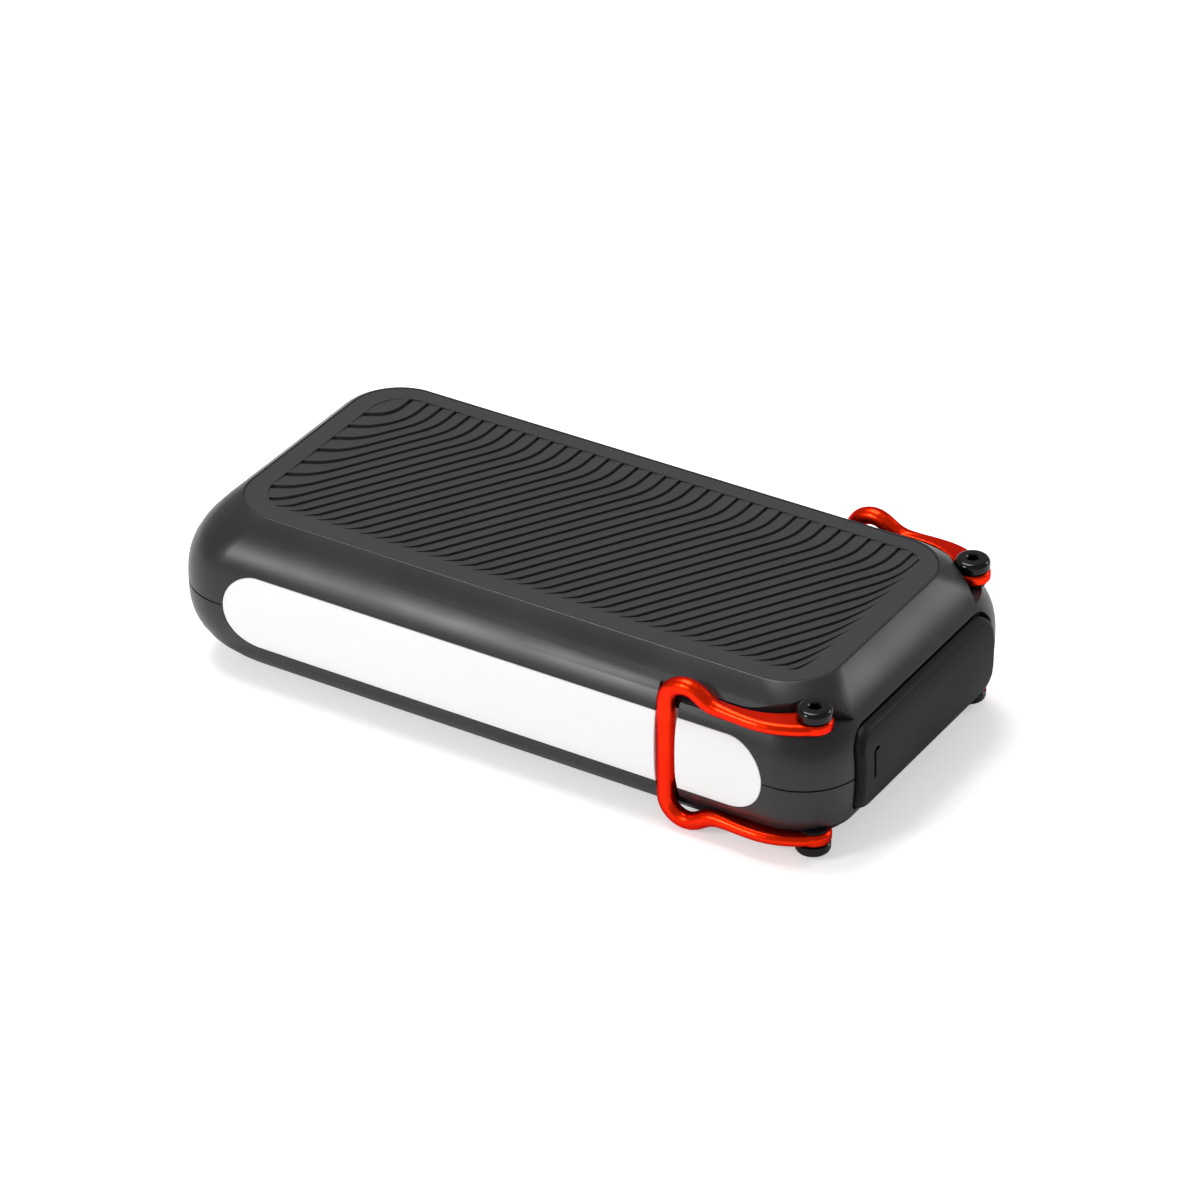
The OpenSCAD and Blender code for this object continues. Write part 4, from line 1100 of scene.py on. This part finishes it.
def circuit_board(name, mask, trace):
    # Solder mask over copper: traces show as slightly lighter lines on a 1.6 mm grid
    material, tree, shader, where = start_material(name, mask, 0.35, Coat_Weight=0.3)
    bricks = add_node(
        tree, "TexBrick",
        {
            "Color1": linear(mask), "Color2": linear(mask), "Mortar": linear(trace),
            "Scale": per(3.2), "Mortar Size": 0.03, "Brick Width": 1, "Row Height": 0.5,
        },
        {"Vector": where},
    )
    tree.links.new(bricks.outputs["Color"], shader.inputs["Base Color"])
    height = bricks.outputs["Fac"]
    bump = add_node(tree, "Bump", {"Distance": 0.02 * MM}, {"Height": height})
    tree.links.new(bump.outputs["Normal"], shader.inputs["Normal"])
    return material


def pouch_foil():
    # Aluminium laminate pouch: dull foil with soft creases a few millimetres apart
    material, tree, shader, where = start_material("laminate_foil", "#b4b9c1", 0.38, 1)
    cells = add_node(tree, "TexVoronoi", {"Scale": per(5)}, {"Vector": where})
    height = cells.outputs["Distance"]
    bump = add_node(tree, "Bump", {"Distance": 0.12 * MM}, {"Height": height})
    grain(tree, shader, where, 0.8, 0.01, 3, bump.outputs["Normal"])
    uneven(tree, shader, where, 8, 0.32, 0.45)
    return material


def open_foam():
    # Open-cell polyurethane foam: matt, full of small round pores, each coloured darker towards its
    # middle as painted shade in the hollow
    material, tree, shader, where = start_material("grey_foam", "#5b5f66", 0.95)
    pores = add_node(tree, "TexVoronoi", {"Scale": per(0.9)}, {"Vector": where})
    # Darker at each pore's middle and lighter on the cell walls: painted shade in the hollows
    ramp = add_node(tree, "ValToRGB", {}, {"Fac": pores.outputs["Distance"]})
    ends = ramp.color_ramp.elements
    ends[0].color, ends[1].color = linear("#3f4248"), linear("#666a72")
    tree.links.new(ramp.outputs["Color"], shader.inputs["Base Color"])
    height = pores.outputs["Distance"]
    bump = add_node(tree, "Bump", {"Distance": 0.25 * MM}, {"Height": height})
    tree.links.new(bump.outputs["Normal"], shader.inputs["Normal"])
    return material


def clear_lens():
    # Clear acrylic, polished
    material, *surface = start_material(
        "clear_acrylic", "#eef4f6", 0.06, IOR=1.49, Transmission_Weight=0.85
    )
    grain(*surface, 2, 0.001)
    return material


def lit_dome(name, colour, speckle):
    # Silicone over a light-emitting chip: glossy, with a small darker phosphor speckle
    material, *surface = start_material(name, colour, 0.2, Coat_Weight=0.4)
    mottle(*surface, 0.5, colour, speckle, 4)
    grain(*surface, 0.4, 0.003)
    return material


FINISHES = {
    # PC/ABS, moulded against a fine spark-eroded tool: satin charcoal
    "cover_plastic": moulded(
        "charcoal_pc_abs", "#242426", "#222224", 0.33, 0.45, 0.01, Specular_IOR_Level=0.45
    ),
    # TPE, moulded over: darker and duller than the covers
    "pad_rubber": moulded(
        "charcoal_tpe", "#303032", "#2e2e30", 0.6, 0.4, 0.02, Specular_IOR_Level=0.35
    ),
    "bail_paint": bail_finish(),
    # Blackened cap screw: near black, wet gloss
    "black_steel": moulded(
        "black_lacquered_steel", "#060607", "#080809", 0.16, 0.5, 0.001,
        Specular_IOR_Level=0.2, Coat_Weight=0.25, Coat_Roughness=0.05,
    ),
    # Nylon and soft black plastic: satin black
    "black_plastic": moulded(
        "black_nylon", "#19191b", "#171719", 0.5, 0.5, 0.012, Specular_IOR_Level=0.15
    ),
    "brass": brushed("turned_brass", "#d9b36a", 0.3, 0.25),
    "diffuser_white": opal_plastic(),
    # White ABS, matt so that it scatters the light
    "tray_white": moulded("white_abs", "#ececec", "#e8e8e8", 0.6, 0.5, 0.01),
    "led_yellow": lit_dome("phosphor_dome", "#f2e3a0", "#d9c36a"),
    # PVC ribbon cable: soft off-white
    "cable_white": moulded("white_pvc", "#dcdcd4", "#d6d6ce", 0.45, 0.8, 0.01),
    # Glass-filled nylon in blue: satin with a faint fibre bloom
    "socket_blue": moulded("blue_nylon", "#1e56c8", "#1b50be", 0.38, 0.4, 0.01),
    "contact_gold": brushed("gold_plate", "#e2b660", 0.2, 0.2, "X", 0.002),
    "shell_steel": brushed("drawn_steel", "#c4c6ca", 0.28, 0.3),
    # PBT tongue: clean white
    "tongue_white": moulded("white_pbt", "#e9e9e9", "#e4e4e4", 0.4, 0.5, 0.008),
    "board_green": circuit_board("green_solder_mask", "#1d6b3a", "#2a7d49"),
    "board_white": circuit_board("white_solder_mask", "#e2e6e2", "#d0d6d0"),
    "screw_steel": brushed("zinc_plated_steel", "#b0b2b6", 0.32, 0.2, "Z"),
    # Black oxide on steel: dark, half matt
    "case_screw_steel": moulded("black_oxide_steel", "#34363a", "#303236", 0.4, 0.3, 0.004),
    # Pressed ferrite: dull grey with a powdery grain
    "ferrite": moulded("pressed_ferrite", "#47474b", "#3e3e42", 0.75, 0.25, 0.03),
    # Epoxy chip package: matt black
    "chip_black": moulded("epoxy_package", "#1f1f21", "#232325", 0.55, 0.2, 0.008),
    "can_aluminium": brushed("drawn_aluminium", "#cfd1d5", 0.3, 0.3),
    "copper": brushed("rolled_copper", "#d98a62", 0.3, 0.3),
    "cell_pouch": pouch_foil(),
    "tab_nickel": brushed("nickel_strip", "#cdcfd2", 0.28, 0.25),
    "foam_grey": open_foam(),
    # ABS buttons: satin, orange for power and grey for light
    "button_orange": moulded("orange_abs", "#d8421c", "#d23f1a", 0.35, 0.4, 0.006),
    "button_grey": moulded("grey_abs", "#4a4a4d", "#47474a", 0.38, 0.4, 0.006),
    "lens_clear": clear_lens(),
    "led_blue": lit_dome("blue_dome", "#cfe8fb", "#bcdcf2"),
}


def finish_cad_nodes():
    """Gives each CAD node the finish of its material slot."""
    for node in frame["nodes"].values():
        for held in node.material_slots:
            name = held.material.name.split(".")[0]
            if name in FINISHES:
                held.material = FINISHES[name]


def fit_piece(piece, slot, body, replaced):
    """Finish, body and the CAD node that a finished piece stands for."""
    piece.data.materials.clear()
    piece.data.materials.append(FINISHES[slot])
    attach(piece, body)
    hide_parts(replaced)


# ---------------------------------------------------------------- room and camera

WHITE = (1, 1, 1, 1)
FLOOR_COLOUR = (0.92, 0.92, 0.92, 1)
FLOOR_GLOW = 0.45  # what the camera sees added to the floor's own light
ROOM_LIGHT = 0.34


def lay_floor():
    """Pale floor, just clear of the pack, that keeps the soft shadow under it."""
    bpy.ops.mesh.primitive_plane_add(size=12, location=(0, 0, -0.05 * MM))
    floor = named("floor")
    material = bpy.data.materials.new("white_paper")
    tree = empty_tree(material)
    matt = add_node(tree, "BsdfDiffuse", {"Color": FLOOR_COLOUR})
    rays = add_node(tree, "LightPath")
    share = add_node(
        tree, "Math", {"operation": "MULTIPLY", 1: FLOOR_GLOW}, {0: rays.outputs["Is Camera Ray"]}
    )
    glow = add_node(tree, "Emission", {"Color": WHITE}, {"Strength": share.outputs["Value"]})
    both = add_node(tree, "AddShader", {}, {0: matt.outputs["BSDF"], 1: glow.outputs["Emission"]})
    add_node(tree, "OutputMaterial", {}, {"Surface": both.outputs["Shader"]})
    floor.data.materials.append(material)


def fill_room():
    """Even pale light from all round, seen as white."""
    world = bpy.data.worlds.new("room")
    bpy.context.scene.world = world
    tree = empty_tree(world)
    rays = add_node(tree, "LightPath")
    seen = add_node(
        tree, "Math", {"operation": "MAXIMUM"},
        {0: rays.outputs["Is Camera Ray"], 1: rays.outputs["Is Transmission Ray"]},
    )
    strength = add_node(
        tree, "MapRange", {"To Min": ROOM_LIGHT, "To Max": 1}, {"Value": seen.outputs["Value"]}
    )
    room = add_node(
        tree, "Background", {"Color": WHITE}, {"Strength": strength.outputs["Result"]}
    )
    add_node(tree, "OutputWorld", {}, {"Surface": room.outputs["Background"]})


def add_softbox(name, direction, distance, size, power):
    """Square soft lamp that faces the pack from a direction."""
    direction = Vector(direction).normalized()
    bpy.ops.object.light_add(type="AREA", location=direction * distance)
    lamp = bpy.context.object
    lamp.name = name
    lamp.rotation_euler = direction.to_track_quat("Z", "Y").to_euler()
    lamp.data.size = size
    lamp.data.energy = power


CAMERA_TURN, CAMERA_TILT, CAMERA_ROLL = (math.radians(a) for a in (31.986, 32.024, -0.567))
CAMERA_AWAY, CAMERA_RIGHT, CAMERA_UP = 1228.947, 2.641, 0.175
SENSOR_W = 36
FOCUS_SHARE = 5567.783 / 1200  # focal length, in frame widths


def set_camera():
    """Long lens, looking down on the light bar and the port end."""
    level = math.cos(CAMERA_TILT)
    back = Vector(
        (math.sin(CAMERA_TURN) * level, -math.cos(CAMERA_TURN) * level, math.sin(CAMERA_TILT))
    )
    side = (-back).cross(Vector((0, 0, 1))).normalized()
    top = side.cross(-back)
    right = side * math.cos(CAMERA_ROLL) + top * math.sin(CAMERA_ROLL)
    up = top * math.cos(CAMERA_ROLL) - side * math.sin(CAMERA_ROLL)
    eye = Vector((MID_X, 0, 20)) + back * CAMERA_AWAY + right * CAMERA_RIGHT + up * CAMERA_UP
    bpy.ops.object.camera_add()
    camera = bpy.context.object
    rows = Matrix((right, up, back)).transposed().to_4x4()
    camera.matrix_world = Matrix.Translation(eye * MM) @ rows
    camera.data.sensor_fit = "HORIZONTAL"
    camera.data.sensor_width = SENSOR_W
    camera.data.lens = FOCUS_SHARE * SENSOR_W
    camera.data.clip_end = 20
    bpy.context.scene.camera = camera


# ---------------------------------------------------------------- assembly

finish_cad_nodes()

upper_cover, lower_cover = make_covers()
fit_piece(upper_cover, "cover_plastic", "pack", "top_cover")
fit_piece(lower_cover, "cover_plastic", "pack", "bottom_cover")

upper_pad, lower_pad = make_pads()
fit_piece(upper_pad, "pad_rubber", "pack", "top_grip_pad")
fit_piece(lower_pad, "pad_rubber", "pack", "bottom_grip_pad")

near_bail, far_bail = make_bails()
fit_piece(near_bail, "bail_paint", "near_bail", "near_bail")
fit_piece(far_bail, "bail_paint", "far_bail", "far_bail")

for screw in make_screws():
    fit_piece(screw, "black_steel", "pack", "pivot_screws")

fit_piece(make_diffuser(), "diffuser_white", "pack", "light_diffuser")
fit_piece(make_door(), "black_plastic", "port_door", "port_door")
fit_piece(make_bezel(), "black_plastic", "pack", "control_bezel")
fit_piece(make_button("power_button", -1), "button_orange", "power_button", "power_button")
fit_piece(make_button("light_button", 1), "button_grey", "light_button", "light_button")
fit_piece(make_lens(), "lens_clear", "pack", "charge_window")

lay_floor()
fill_room()
add_softbox("front_softbox", (-0.45, -0.88, 0.52), 1.4, 0.34, 6.9)
add_softbox("back_softbox", (0.529, 0.719, 0.449), 1.2, 0.4, 2.1)
add_softbox("overhead_softbox", (-0.3, 0.1, 1), 1.3, 0.7, 12)
set_camera()

bpy.context.scene.view_settings.view_transform = "Standard"
